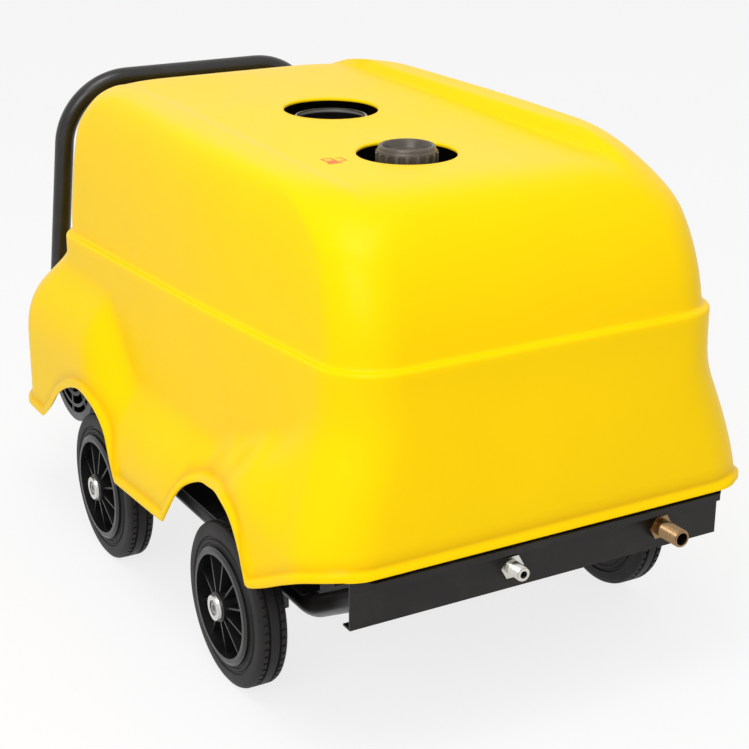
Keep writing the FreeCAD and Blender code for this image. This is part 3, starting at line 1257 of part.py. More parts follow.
for k in range(4):
    tab = box(MOTOR_X0 + 1, cowl_end, MOTOR_Y - COWL_TAB_W / 2, MOTOR_Y + COWL_TAB_W / 2,
              SHAFT_Z + MOTOR_R - 4, SHAFT_Z + COWL_R - COWL_WALL / 2)
    tabs.append(around_motor(tab, 45.0 + 90.0 * k))
tabs = Part.Compound(tabs).cut(cyl(MOTOR_R - 4, (MOTOR_X0 - 10, MOTOR_Y, SHAFT_Z), (1, 0, 0), 60))
save("motor_fan_cowl", cowl.fuse(tabs))

terminal_foot = SHAFT_Z + MOTOR_R + FIN_H
terminal = box(TERMINAL_X0, TERMINAL_X1, MOTOR_Y - TERMINAL_HALF, MOTOR_Y + TERMINAL_HALF, terminal_foot,
               terminal_foot + TERMINAL_H)
terminal = terminal.makeFillet(5.0, [e for e in terminal.Edges if e.BoundBox.ZMin > terminal_foot + 1])
gland_at = ((TERMINAL_X0 + TERMINAL_X1) / 2, MOTOR_Y - TERMINAL_HALF - GLAND_L,
            terminal_foot + TERMINAL_H / 2)
save("terminal_box", terminal.fuse(pipe(GLAND_R, GLAND_BORE_R, gland_at, (0, 1, 0), GLAND_L + 1)))

# Pump on the motor's flange

crankcase = box(PUMP_X0, PUMP_X1, PUMP_Y0, PUMP_Y1, SHAFT_Z - PUMP_HALF_H, SHAFT_Z + PUMP_HALF_H)
crankcase = crankcase.makeFillet(PUMP_CORNER_R, [e for e in crankcase.Edges if e.BoundBox.XLength > 1])
bell_r = BELL_BORE_R + BELL_WALL
crankcase = crankcase.fuse(cyl(bell_r, (MOTOR_X1, MOTOR_Y, SHAFT_Z), (1, 0, 0), BELL_L + PUMP_CORNER_R))
crankcase = crankcase.cut(cyl(BELL_BORE_R, (MOTOR_X1 - 1, MOTOR_Y, SHAFT_Z), (1, 0, 0),
                              BELL_L + 1 + BELL_SEAT))
fin_half = PUMP_HALF_H - PUMP_CORNER_R - 2
for k in range(PUMP_FINS):
    x = PUMP_X0 + 15 + PUMP_FIN_PITCH * k
    crankcase = crankcase.fuse(box(x, x + PUMP_FIN_T, PUMP_Y0 - PUMP_FIN_H, PUMP_Y0 + 1, SHAFT_Z - fin_half,
                                   SHAFT_Z + fin_half))
glass_at = (PUMP_X1, MOTOR_Y - PORT_Y, SHAFT_Z - OIL_GLASS_R)
save("pump_crankcase", crankcase.fuse(cyl(OIL_GLASS_R, glass_at, (1, 0, 0), OIL_GLASS_T)))

near_x0 = MOTOR_X1 + COUPLING_GAP
near_x1 = near_x0 + COUPLING_L
far_x0 = MOTOR_X1 + COUPLING_FAR_X
coupling = motor_ring(COUPLING_R, MOTOR_SHAFT_R, near_x0, near_x1)
teeth = []
for k in range(COUPLING_TEETH):
    a = 2 * math.pi * k / COUPLING_TEETH
    foot = (near_x1, MOTOR_Y + TOOTH_CIRCLE_R * math.cos(a), SHAFT_Z + TOOTH_CIRCLE_R * math.sin(a))
    teeth.append(cyl(TOOTH_R, foot, (1, 0, 0), TOOTH_L))
coupling = coupling.multiFuse(teeth)
coupling = coupling.fuse(motor_ring(COUPLING_R, PUMP_SHAFT_R - 2, far_x0, far_x0 + COUPLING_FAR_L))
pump_shaft_l = MOTOR_X1 + BELL_L + BELL_SEAT - GAP - shaft_x1 - 1
pump_shaft = cyl(PUMP_SHAFT_R, (shaft_x1 + 1, MOTOR_Y, SHAFT_Z), (1, 0, 0), pump_shaft_l)
save("shaft_coupling", coupling.fuse(pump_shaft))

head_y1 = PUMP_Y1 + HEAD_DEPTH
head_top = SHAFT_Z + HEAD_RISE
port_y = PUMP_Y1 + PORT_Y
head = box(PUMP_X0 + HEAD_INSET, PUMP_X1 - HEAD_INSET, PUMP_Y1, head_y1, SHAFT_Z - HEAD_DROP, head_top)
head = head.makeFillet(6.0, [e for e in head.Edges if e.BoundBox.YLength > 1])
for k in (-1, 0, 1):
    x = (PUMP_X0 + PUMP_X1) / 2 + HEAD_CAP_PITCH * k
    for dz in HEAD_CAP_ZS:
        head = head.fuse(hexagon(HEAD_CAP_AF, (x, head_y1, SHAFT_Z + dz), "y", HEAD_CAP_T))
suction_port_r = HOSE_R - HOSE_WALL + PORT_WALL + 1.5
head = head.fuse(cyl(suction_port_r, (PUMP_X1 - HEAD_INSET, port_y, SUCTION_Z), (1, 0, 0), PORT_L + 2))
head = head.fuse(cyl(PIPE_R + PORT_WALL, (DELIVERY_X, port_y, head_top), (0, 0, 1), PORT_L))
save("pump_head", head)

unloader_x = PUMP_X1 - UNLOADER_INSET
unloader_y = PUMP_Y1 + UNLOADER_Y
neck_z = head_top + UNLOADER_H
half_len = UNLOADER_LEN / 2
unloader = box(unloader_x - UNLOADER_HALF, unloader_x + UNLOADER_HALF, unloader_y - half_len,
               unloader_y + half_len,
               head_top, neck_z)
unloader = unloader.makeFillet(4.0, [e for e in unloader.Edges if e.BoundBox.ZLength > 1])
unloader = unloader.fuse(cyl(UNLOADER_NECK_R, (unloader_x, unloader_y, neck_z), (0, 0, 1), UNLOADER_NECK_H))
spindle_bore_z = neck_z + UNLOADER_NECK_H - SPINDLE_SEAT - 2
unloader = unloader.cut(cyl(SPINDLE_R + AXLE_RUNNING, (unloader_x, unloader_y, spindle_bore_z), (0, 0, 1),
                            2 * SPINDLE_SEAT))
save("unloader_valve", unloader)

knob_foot = neck_z + UNLOADER_NECK_H + GAP
knob = cyl(KNOB_R, (unloader_x, unloader_y, knob_foot), (0, 0, 1), KNOB_H)
spindle_z = neck_z + UNLOADER_NECK_H - SPINDLE_SEAT
knob = knob.fuse(cyl(SPINDLE_R, (unloader_x, unloader_y, spindle_z), (0, 0, 1), SPINDLE_L))
grips = []
for k in range(KNOB_GRIPS):
    a = 2 * math.pi * k / KNOB_GRIPS
    reach = KNOB_R + 1
    foot = (unloader_x + reach * math.cos(a), unloader_y + reach * math.sin(a), knob_foot - 1)
    grips.append(cyl(KNOB_GRIP_R, foot, (0, 0, 1), KNOB_H + 2))
save("pressure_knob", knob.cut(Part.Compound(grips)))

# Water tank and the water lines

water_top = TRAY_TOP + WATER_H
water = box(WATER_X0, WATER_X1, WATER_Y0, WATER_Y1, TRAY_TOP, water_top)
water = water.makeFillet(WATER_ROUND, [e for e in water.Edges if e.BoundBox.ZLength > 1])
water = water.cut(box(WATER_X0 + WATER_WALL, WATER_X1 - WATER_WALL, WATER_Y0 + WATER_WALL,
                      WATER_Y1 - WATER_WALL,
                      TRAY_TOP + WATER_WALL, water_top - WATER_WALL))
spout_r = HOSE_R - HOSE_WALL
spout_bore = spout_r - HOSE_WALL
water = water.fuse(pipe(spout_r, spout_bore, (INLET_X, WATER_Y0 - SPOUT_L, FITTING_Z), (0, 1, 0),
                        SPOUT_L + 2))
water = water.fuse(pipe(spout_r, spout_bore, (DRAW_X, WATER_Y1 - 2, DRAW_Z), (0, 1, 0), SPOUT_L + 2))
save("float_tank", water)

inlet_start = PLATE_Y + PLATE_T + INLET_NUT_T + HOSE_GAP
inlet_hose_l = WATER_Y0 - HOSE_GAP - inlet_start
save("inlet_hose", pipe(HOSE_R, spout_r, (INLET_X, inlet_start, FITTING_Z), (0, 1, 0), inlet_hose_l))

suction_end = PUMP_X1 - HEAD_INSET + PORT_L + 2
suction = bent_tube([(DRAW_X, WATER_Y1 + HOSE_GAP, DRAW_Z),
                     (DRAW_X, SUCTION_Y[0], DRAW_Z),
                     (SUCTION_X, SUCTION_Y[1], DRAW_Z + SUCTION_RISE[0]),
                     (SUCTION_X, SUCTION_Y[2], DRAW_Z + SUCTION_RISE[1]),
                     (SUCTION_X, port_y, SUCTION_Z),
                     (suction_end, port_y, SUCTION_Z)], SUCTION_BENDS, HOSE_R, HOSE_WALL)
save("suction_hose", suction)

feed_z = BOX_Z0 - FEED_DROP
feed_y = (STAND_LEG_Y + FLUE_Y + math.sqrt(BOILER_R ** 2 - COIL_R ** 2)) / 2
coil_gap = 2 * GAP
feed = bent_tube([(DELIVERY_X, port_y, head_top + PORT_L),
                  (DELIVERY_X, port_y, feed_z),
                  (COIL_R, port_y - FEED_JOG, feed_z),
                  (COIL_R, feed_y, feed_z),
                  (COIL_R, feed_y, COIL_END_Z),
                  (COIL_R, FLUE_Y + coil_gap, COIL_END_Z)], FEED_BENDS, PIPE_R, PIPE_WALL)
save("coil_feed_pipe", feed)

delivery_end = PLATE_Y + PLATE_T + OUTLET_NUT_T
return_z = BURNER_Z - BLAST_R - RETURN_DROP
delivery = bent_tube([(COIL_R, FLUE_Y - coil_gap, COIL_START_Z),
                      (COIL_R, RETURN_Y[0], COIL_START_Z),
                      (COIL_R, RETURN_Y[1], return_z),
                      (RETURN_X, RETURN_Y[1], return_z),
                      (RETURN_X, RETURN_Y[2], return_z),
                      (OUTLET_X, RETURN_Y[3], FITTING_Z),
                      (OUTLET_X, delivery_end, FITTING_Z)], RETURN_BENDS, PIPE_R, PIPE_WALL)
save("coil_outlet_pipe", delivery)

# Control box on its stand, read and set through the hood's rear window

stand_foot = BOX_Z0 - STAND_T
panel_stand = box(-STAND_LEG_X - LEG / 2, STAND_LEG_X + LEG / 2, STAND_LEG_Y, BOX_Y1, stand_foot, BOX_Z0)
for side in (-1, 1):
    panel_stand = panel_stand.fuse(make_leg(side * STAND_LEG_X - LEG / 2, STAND_LEG_Y, stand_foot))
save("panel_stand", panel_stand)

control = box(-BOX_HALF, BOX_HALF, BOX_Y0, BOX_Y1, BOX_Z0, BOX_Z1)
control = control.makeFillet(BOX_ROUND, [e for e in control.Edges if e.BoundBox.YLength > 1])
control = control.cut(box(-BOX_HALF + PANEL_T, BOX_HALF - PANEL_T, BOX_Y0 + PANEL_T, BOX_Y1 - PANEL_T,
                          BOX_Z0 + PANEL_T, BOX_Z1 - PANEL_T))
for x in (SWITCH_X, THERMO_X):
    control = control.cut(cyl(KNOB_PIN_R + AXLE_RUNNING, (x, BOX_Y1 - 2 * PANEL_T, DIAL_Z), (0, 1, 0),
                              3 * PANEL_T))
gauge_body_r = GAUGE_R - GAUGE_WALL - 1
save("control_box", control.cut(cyl(gauge_body_r, (GAUGE_X, BOX_Y1 - 2 * PANEL_T, DIAL_Z), (0, 1, 0),
                                    3 * PANEL_T)))


def make_dial_knob(x):
    foot = BOX_Y1 + GAP
    grip_half = KNOB_R - GAUGE_WALL
    knob = cyl(KNOB_R, (x, foot, DIAL_Z), (0, 1, 0), DIAL_BASE_T)
    knob = knob.fuse(cyl(KNOB_R - DIAL_STEP, (x, foot, DIAL_Z), (0, 1, 0), DIAL_STEP_T))
    knob = knob.fuse(box(x - DIAL_GRIP_W / 2, x + DIAL_GRIP_W / 2, foot, foot + KNOB_H, DIAL_Z - grip_half,
                         DIAL_Z + grip_half))
    return knob.fuse(cyl(KNOB_PIN_R, (x, BOX_Y1 - PIN_SEAT, DIAL_Z), (0, 1, 0), PIN_SEAT + 2))


save("main_switch_knob", make_dial_knob(SWITCH_X))
save("thermostat_knob", make_dial_knob(THERMO_X))

gauge = cyl(GAUGE_R, (GAUGE_X, BOX_Y1, DIAL_Z), (0, 1, 0), GAUGE_BEZEL_T)
gauge = gauge.fuse(cyl(gauge_body_r, (GAUGE_X, BOX_Y1 - GAUGE_BODY_L, DIAL_Z), (0, 1, 0), GAUGE_BODY_L))
gauge = gauge.cut(cyl(GAUGE_R - GAUGE_WALL, (GAUGE_X, BOX_Y1 + DIAL_DEPTH, DIAL_Z), (0, 1, 0),
                      GAUGE_BEZEL_T))
needle_bore = cyl(NEEDLE_R + AXLE_RUNNING, (GAUGE_X, BOX_Y1 - NEEDLE_SEAT - 1, DIAL_Z), (0, 1, 0), 20)
save("pressure_gauge", gauge.cut(needle_bore))

needle = cyl(NEEDLE_R, (GAUGE_X, BOX_Y1 - NEEDLE_SEAT, DIAL_Z), (0, 1, 0), 2 * NEEDLE_SEAT)
needle = needle.fuse(cyl(NEEDLE_HUB_R, (GAUGE_X, BOX_Y1 + DIAL_DEPTH + 1, DIAL_Z), (0, 1, 0), 2))
pointer_y = BOX_Y1 + DIAL_DEPTH + 1.5
outline = [(-NEEDLE_W / 2, -NEEDLE_TAIL), (NEEDLE_W / 2, -NEEDLE_TAIL), (NEEDLE_TIP_W / 2, NEEDLE_L),
           (-NEEDLE_TIP_W / 2, NEEDLE_L), (-NEEDLE_W / 2, -NEEDLE_TAIL)]
pointer = Part.makePolygon([Vector(GAUGE_X + dx, pointer_y, DIAL_Z + dz) for dx, dz in outline])
save("gauge_needle", needle.fuse(Part.Face(pointer).extrude(Vector(0, 1, 0))))
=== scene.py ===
import math

import bmesh
import bpy
from bpy.props import FloatProperty, FloatVectorProperty, IntProperty, PointerProperty
from mathutils import Matrix, Vector
from mathutils.geometry import interpolate_bezier
from mathutils.kdtree import KDTree


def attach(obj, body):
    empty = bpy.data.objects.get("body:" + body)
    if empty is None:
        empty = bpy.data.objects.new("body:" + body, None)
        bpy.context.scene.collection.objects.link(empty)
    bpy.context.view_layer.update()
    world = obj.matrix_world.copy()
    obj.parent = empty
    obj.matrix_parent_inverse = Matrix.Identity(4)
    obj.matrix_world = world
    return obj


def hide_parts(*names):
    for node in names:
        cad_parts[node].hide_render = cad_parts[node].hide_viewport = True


bl_info = {
    "name": "Pressure washer",
    "version": (1, 0, 0),
    "blender": (4, 5, 0),
    "location": "3D View > Sidebar > Washer",
    "description": "Dresses a wheeled hot-water pressure washer: hood, tyres, cap, finishes and stage",
    "category": "Object",
}

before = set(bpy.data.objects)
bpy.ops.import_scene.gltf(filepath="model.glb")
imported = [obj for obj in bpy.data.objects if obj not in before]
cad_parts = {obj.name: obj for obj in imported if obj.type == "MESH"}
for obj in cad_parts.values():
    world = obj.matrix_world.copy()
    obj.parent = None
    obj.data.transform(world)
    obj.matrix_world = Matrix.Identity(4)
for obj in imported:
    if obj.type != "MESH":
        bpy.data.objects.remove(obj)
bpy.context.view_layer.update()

# The machine's own lengths are in millimetres from a datum line between the axles, as its
# drawings give them. Y on the drawings is DATUM_Y ahead of the frame's Y.
DATUM_Y = 125.29

SKIRT_FRONT_Y = -473.0
SKIRT_NOSE = 20.0
SKIRT_NOSE_RUN = 260.0
SKIRT_TAIL_Y = 662.0
SKIRT_TAIL_TOP_Z = 478.0
SKIRT_TAIL_RUN = 178.0
SKIRT_CORNER_FRONT = 90.0
SKIRT_CORNER_REAR = 105.0
CAB_FRONT_Y = -462.0
CAB_REAR_Y = 566.0
CAB_FOOT_Z = 540.0
# how far the cab draws in towards the roof at its sides, front and rear
CROWN_SIDE = 62.0
CROWN_FRONT = 200.0
CROWN_REAR = 30.0
REAR_LEAN = 8.0
REAR_EDGE = 60.0
# radius of the cab's corners in plan: at its foot, what it gains towards the roof, from where and over what rise
CAB_CORNER = 80.0
ROOF_CORNER = 70.0
ROOF_CORNER_Z = 690.0
ROOF_CORNER_RUN = 90.0
BELT_FRONT_Z = 558.0
BELT_FALL = 0.042
BELT_Y = -440.0
BELT_LEDGE = 12.0
ROOF_RIDGE_Z = 780.0
ROOF_PANEL_Z = 758.0
ROOF_PANEL_HALF = 200.0
PANEL_CLIMB = 8.0
PANEL_CLIMB_Y = -220.0
PANEL_CLIMB_RUN = 560.0
RIGHT_RIDGE = 44.0
LEFT_RIDGE = 6.0
RIDGE_FLANK = 26.0
# width of the blend where the panel meets the bends around it, on the right flank and elsewhere
FLANK_BLEND = 14.0
PANEL_BLEND = 30.0
BLEND_X = 185.0
BLEND_RUN = 40.0
FLARE_FOLD = 0.3
HEM_ROLL = 7.5
HEM_HALF_MAX = 386.2
FLUE_AT = (0.0, 149.0)
FLUE_HOLE_R = 75.0
FLUE_BORE_R = 54.6
FLUE_SOOT_Z = 745.0
FILLER_AT = (-39.0, -152.0)
FILLER_HOLE_R = 73.0
HOLE_LIP = 7.0
HOLE_LIP_DEPTH = 2.5
LIP_EDGE = 0.4
WINDOW_HALF = 155.0
WINDOW_Z = (500.0, 628.0)
WINDOW_CORNER = 14.0
# stations along Y: (y, value)
BELT_HALF = [(-503, 314), (50, 328), (700, 331)]
FLARE_HALF = [(-503, 358), (-400, 368), (-280, 377), (190, 378), (340, 381), (700, 382.5)]
FLARE_TOP = [(-503, 556), (-400, 500), (-280, 432), (-180, 396), (-90, 358), (190, 352), (325, 470), (700, 472)]
FLARE_FULL = [(-503, 285), (-400, 300), (-280, 322), (-90, 225), (190, 205), (340, 300), (700, 300)]
FLARE_BULGE = [(-503, 1.0), (-400, 1.3), (-280, 2.0), (190, 2.2), (340, 3.0), (700, 3.0)]
CAB_HALF = [(-503, 305), (50, 316), (700, 315)]
CAB_LEAN = [(-503, 18), (50, 8), (700, 20)]
# hem line on the side, (y, z), in arcs
HEM = [
    [(-480, 290), (-440, 280), (-400, 261), (-350, 235), (-312, 218)],
    [(-300, 220), (-282, 272), (-252, 308), (-215, 318), (-165, 311), (-110, 296), (-72, 274), (-44, 234),
     (-14, 196)],
    [(180, 186), (205, 230), (230, 262), (268, 290), (316, 300), (370, 287), (424, 258), (470, 217), (512, 186)],
]
HEM_TAIL_Z = 186.0
HEM_PAST_ENDS = 900.0


def at_mm(x, y, z):
    """A point of the drawings, in metres in the frame."""
    return Vector((x, y - DATUM_Y, z)) / 1000


class WasherHood(bpy.types.PropertyGroup):
    colour: FloatVectorProperty(name="Hood colour", description="Moulded colour of the hood", subtype="COLOR",
                                size=3, min=0, max=1, default=(1.0, 0.655, 0.0))
    wall: FloatProperty(name="Wall", description="Thickness of the moulded wall", default=0.005, unit="LENGTH")
    roughness: FloatProperty(name="Roughness", description="Roughness of the moulded skin", default=0.34,
                             subtype="FACTOR", min=0, max=1)


class WasherWheels(bpy.types.PropertyGroup):
    radius: FloatProperty(name="Tyre radius", description="Outer radius of a tyre", default=0.125, unit="LENGTH")
    width: FloatProperty(name="Tyre width", description="Width of a tyre", default=0.046, unit="LENGTH")
    bore: FloatProperty(name="Tyre bore", description="Inner radius of a tyre", default=0.084, unit="LENGTH")
    sipes: IntProperty(name="Sipes", description="Cross cuts round each shoulder rib", default=60)
    colour: FloatVectorProperty(name="Rubber colour", description="Colour of the solid rubber", subtype="COLOR",
                                size=3, min=0, max=1, default=(0.011, 0.0102, 0.0095))


class WasherCap(bpy.types.PropertyGroup):
    ribs: IntProperty(name="Grip ribs", description="Raised ribs round the cap's skirt", default=18)
    rib_height: FloatProperty(name="Rib height", description="How far a grip rib stands out", default=0.0023,
                              unit="LENGTH")
    colour: FloatVectorProperty(name="Cap colour", description="Colour of the cap's plastic", subtype="COLOR",
                                size=3, min=0, max=1, default=(0.085, 0.068, 0.048))


class WasherStage(bpy.types.PropertyGroup):
    key_power: FloatProperty(name="Key light", description="Power of the large soft light above", default=46,
                             unit="POWER")
    fill_power: FloatProperty(name="Fill light", description="Power of the soft light at the side", default=38,
                              unit="POWER")
    sky: FloatProperty(name="Surround", description="Brightness of the pale surround", default=0.66)
    lens: FloatProperty(name="Lens", description="Focal length of the camera in millimetres", default=82.378)


def new_object(name, mesh):
    obj = bpy.data.objects.new(name, mesh)
    bpy.context.scene.collection.objects.link(obj)
    return obj


def mesh_object(name, bm, sharp_angle=0.6):
    """Closes a bmesh into an object with smooth faces and crisp edges."""
    for face in bm.faces:
        face.smooth = True
    for edge in bm.edges:
        edge.smooth = len(edge.link_faces) == 2 and edge.calc_face_angle(0) < sharp_angle
    mesh = bpy.data.meshes.new(name)
    bm.to_mesh(mesh)
    bm.free()
    return new_object(name, mesh)


def settled(obj, sharp_angle=0.6):
    """Applies an object's modifiers and keeps its crisp edges."""
    depsgraph = bpy.context.evaluated_depsgraph_get()
    mesh = bpy.data.meshes.new_from_object(obj.evaluated_get(depsgraph))
    obj.modifiers.clear()
    old = obj.data
    obj.data = mesh
    bpy.data.meshes.remove(old)
    mesh.name = obj.name
    bm = bmesh.new()
    bm.from_mesh(mesh)
    for face in bm.faces:
        face.smooth = True
    for edge in bm.edges:
        edge.smooth = len(edge.link_faces) == 2 and edge.calc_face_angle(0) < sharp_angle
    bm.to_mesh(mesh)
    bm.free()


def turned(points, centre, axis, steps):
    """A line of points turned once round an axis, as a bmesh with its faces outwards."""
    bm = bmesh.new()
    verts = [bm.verts.new(p) for p in points]
    edges = [bm.edges.new(pair) for pair in zip(verts, verts[1:])]
    bmesh.ops.spin(bm, geom=verts + edges, cent=centre, axis=axis, angle=2 * math.pi, steps=steps, use_merge=True)
    bmesh.ops.remove_doubles(bm, verts=bm.verts, dist=0.00001)
    bmesh.ops.recalc_face_normals(bm, faces=bm.faces)
    return bm


def ring(name, profile, centre, steps):
    """A ring turned about an upright axis from a closed (radius, height) outline."""
    points = [at_mm(centre[0] + r, centre[1], z) for r, z in profile]
    return mesh_object(name, turned(points + points[:1], at_mm(*centre, 0), (0, 0, 1), steps))


def ease(t):
    """From 0 to 1 as t does, slow at both ends."""
    t = max(0.0, min(1.0, t))
    return t * t * (3 - 2 * t)


def along(stations, y):
    """The value at y, eased from one station to the next."""
    if y <= stations[0][0]:
        return stations[0][1]
    for (y0, v0), (y1, v1) in zip(stations, stations[1:]):
        if y <= y1:
            return v0 + (v1 - v0) * ease((y - y0) / (y1 - y0))
    return stations[-1][1]


# Finishes

def noise(nodes, links, coords, scale, detail=3.0, roughness=0.5, stretch=None):
    tex = nodes.new("ShaderNodeTexNoise")
    tex.inputs["Scale"].default_value = scale
    tex.inputs["Detail"].default_value = detail
    tex.inputs["Roughness"].default_value = roughness
    if stretch:
        mapping = nodes.new("ShaderNodeMapping")
        mapping.inputs["Scale"].default_value = stretch
        links.new(coords, mapping.inputs["Vector"])
        coords = mapping.outputs["Vector"]
    links.new(coords, tex.inputs["Vector"])
    return tex.outputs["Fac"]


def ranged(nodes, links, value, low, high, out_low, out_high):
    node = nodes.new("ShaderNodeMapRange")
    for key, number in (("From Min", low), ("From Max", high), ("To Min", out_low), ("To Max", out_high)):
        node.inputs[key].default_value = number
    links.new(value, node.inputs["Value"])
    return node.outputs["Result"]


def blended(nodes, links, factor, first, second):
    node = nodes.new("ShaderNodeMix")
    node.data_type = "RGBA"
    links.new(factor, node.inputs["Factor"])
    for key, colour in (("A", first), ("B", second)):
        socket = [s for s in node.inputs if s.name == key and s.type == "RGBA"][0]
        if isinstance(colour, bpy.types.NodeSocket):
            links.new(colour, socket)
        else:
            socket.default_value = (*colour, 1.0)
    return [s for s in node.outputs if s.type == "RGBA"][0]


def finish_of(name, colour, roughness, metallic=0.0, shade=0.85, patch=14.0, gloss_spread=0.06, grain=900.0,
              grain_depth=0.00004, stretch=None, dust=0.0, dust_colour=(0.3, 0.27, 0.23), scratches=0.0,
              specular=0.5):
    """A finish with soft patches of shade, uneven gloss and fine grain, and dust and scratches where asked."""
    material = bpy.data.materials.new(name)
    material.use_nodes = True
    nodes, links = material.node_tree.nodes, material.node_tree.links
    shader = nodes["Principled BSDF"]
    shader.inputs["Metallic"].default_value = metallic
    shader.inputs["Specular IOR Level"].default_value = specular
    coords = nodes.new("ShaderNodeTexCoord").outputs["Object"]
    patches = noise(nodes, links, coords, patch, 4.0, 0.55, stretch)
    dark = tuple(c * shade for c in colour)
    base = blended(nodes, links, ranged(nodes, links, patches, 0.35, 0.65, 0.0, 1.0), dark, colour)
    rough = ranged(nodes, links, patches, 0.3, 0.7, roughness - gloss_spread, roughness + gloss_spread)
    if dust:
        specks = noise(nodes, links, coords, patch * 2.3, 8.0, 0.7)
        amount = ranged(nodes, links, specks, 0.5, 0.8, 0.0, dust)
        base = blended(nodes, links, amount, base, dust_colour)
    if scratches:
        lines = noise(nodes, links, coords, 60.0, 2.0, 0.5, (1.0, 9.0, 26.0))
        amount = ranged(nodes, links, lines, 0.68, 0.74, 0.0, scratches)
        base = blended(nodes, links, amount, base, tuple(min(1.0, c * 1.6 + 0.05) for c in colour))
    links.new(base, shader.inputs["Base Color"])
    links.new(rough, shader.inputs["Roughness"])
    relief = nodes.new("ShaderNodeBump")
    relief.inputs["Strength"].default_value = 0.5
    relief.inputs["Distance"].default_value = grain_depth
    links.new(noise(nodes, links, coords, grain, 2.0, 0.5, stretch), relief.inputs["Height"])
    links.new(relief.outputs["Normal"], shader.inputs["Normal"])
    return material


def turned_steel(name, colour, roughness, axis):
    """Bare metal with the fine rings or lines that a tool leaves square to the axis."""
    stretch = [1.0, 1.0, 1.0]
    stretch[axis] = 30.0
    return finish_of(name, colour, roughness, metallic=1.0, shade=0.8, patch=30.0, gloss_spread=0.08, grain=60.0,
                     grain_depth=0.00003, stretch=tuple(stretch))


def sooty_steel(name):
    """Stainless flue: bright outside and at the rim, dark with soot inside."""
    material = finish_of(name, (0.62, 0.6, 0.56), 0.3, metallic=1.0, patch=22.0, grain=120.0, grain_depth=0.00002,
                         specular=0.02)
    nodes, links = material.node_tree.nodes, material.node_tree.links
    shader = nodes["Principled BSDF"]
    position = nodes.new("ShaderNodeTexCoord").outputs["Object"]
    split = nodes.new("ShaderNodeSeparateXYZ")
    links.new(position, split.inputs["Vector"])
    squares = []
    for key, centre in (("X", FLUE_AT[0] / 1000), ("Y", (FLUE_AT[1] - DATUM_Y) / 1000)):
        away = nodes.new("ShaderNodeMath")
        away.operation = "SUBTRACT"
        away.inputs[1].default_value = centre
        links.new(split.outputs[key], away.inputs[0])
        square = nodes.new("ShaderNodeMath")
        square.operation = "MULTIPLY"
        links.new(away.outputs[0], square.inputs[0])
        links.new(away.outputs[0], square.inputs[1])
        squares.append(square.outputs[0])
    total = nodes.new("ShaderNodeMath")
    links.new(squares[0], total.inputs[0])
    links.new(squares[1], total.inputs[1])
    inside = ranged(nodes, links, total.outputs[0], (FLUE_BORE_R / 1000) ** 2, ((FLUE_BORE_R + 0.6) / 1000) ** 2,
                    1.0, 0.0)
    deep = ranged(nodes, links, split.outputs["Z"], FLUE_SOOT_Z / 1000, (FLUE_SOOT_Z + 5) / 1000, 1.0, 0.0)
    both = nodes.new("ShaderNodeMath")
    both.operation = "MULTIPLY"
    links.new(inside, both.inputs[0])
    links.new(deep, both.inputs[1])
    clean = shader.inputs["Base Color"].links[0].from_socket
    links.new(blended(nodes, links, both.outputs[0], clean, (0.006, 0.005, 0.005)), shader.inputs["Base Color"])
    links.new(ranged(nodes, links, both.outputs[0], 0.0, 1.0, 0.3, 0.85), shader.inputs["Roughness"])
    links.new(ranged(nodes, links, both.outputs[0], 0.0, 1.0, 1.0, 0.0), shader.inputs["Metallic"])
    return material


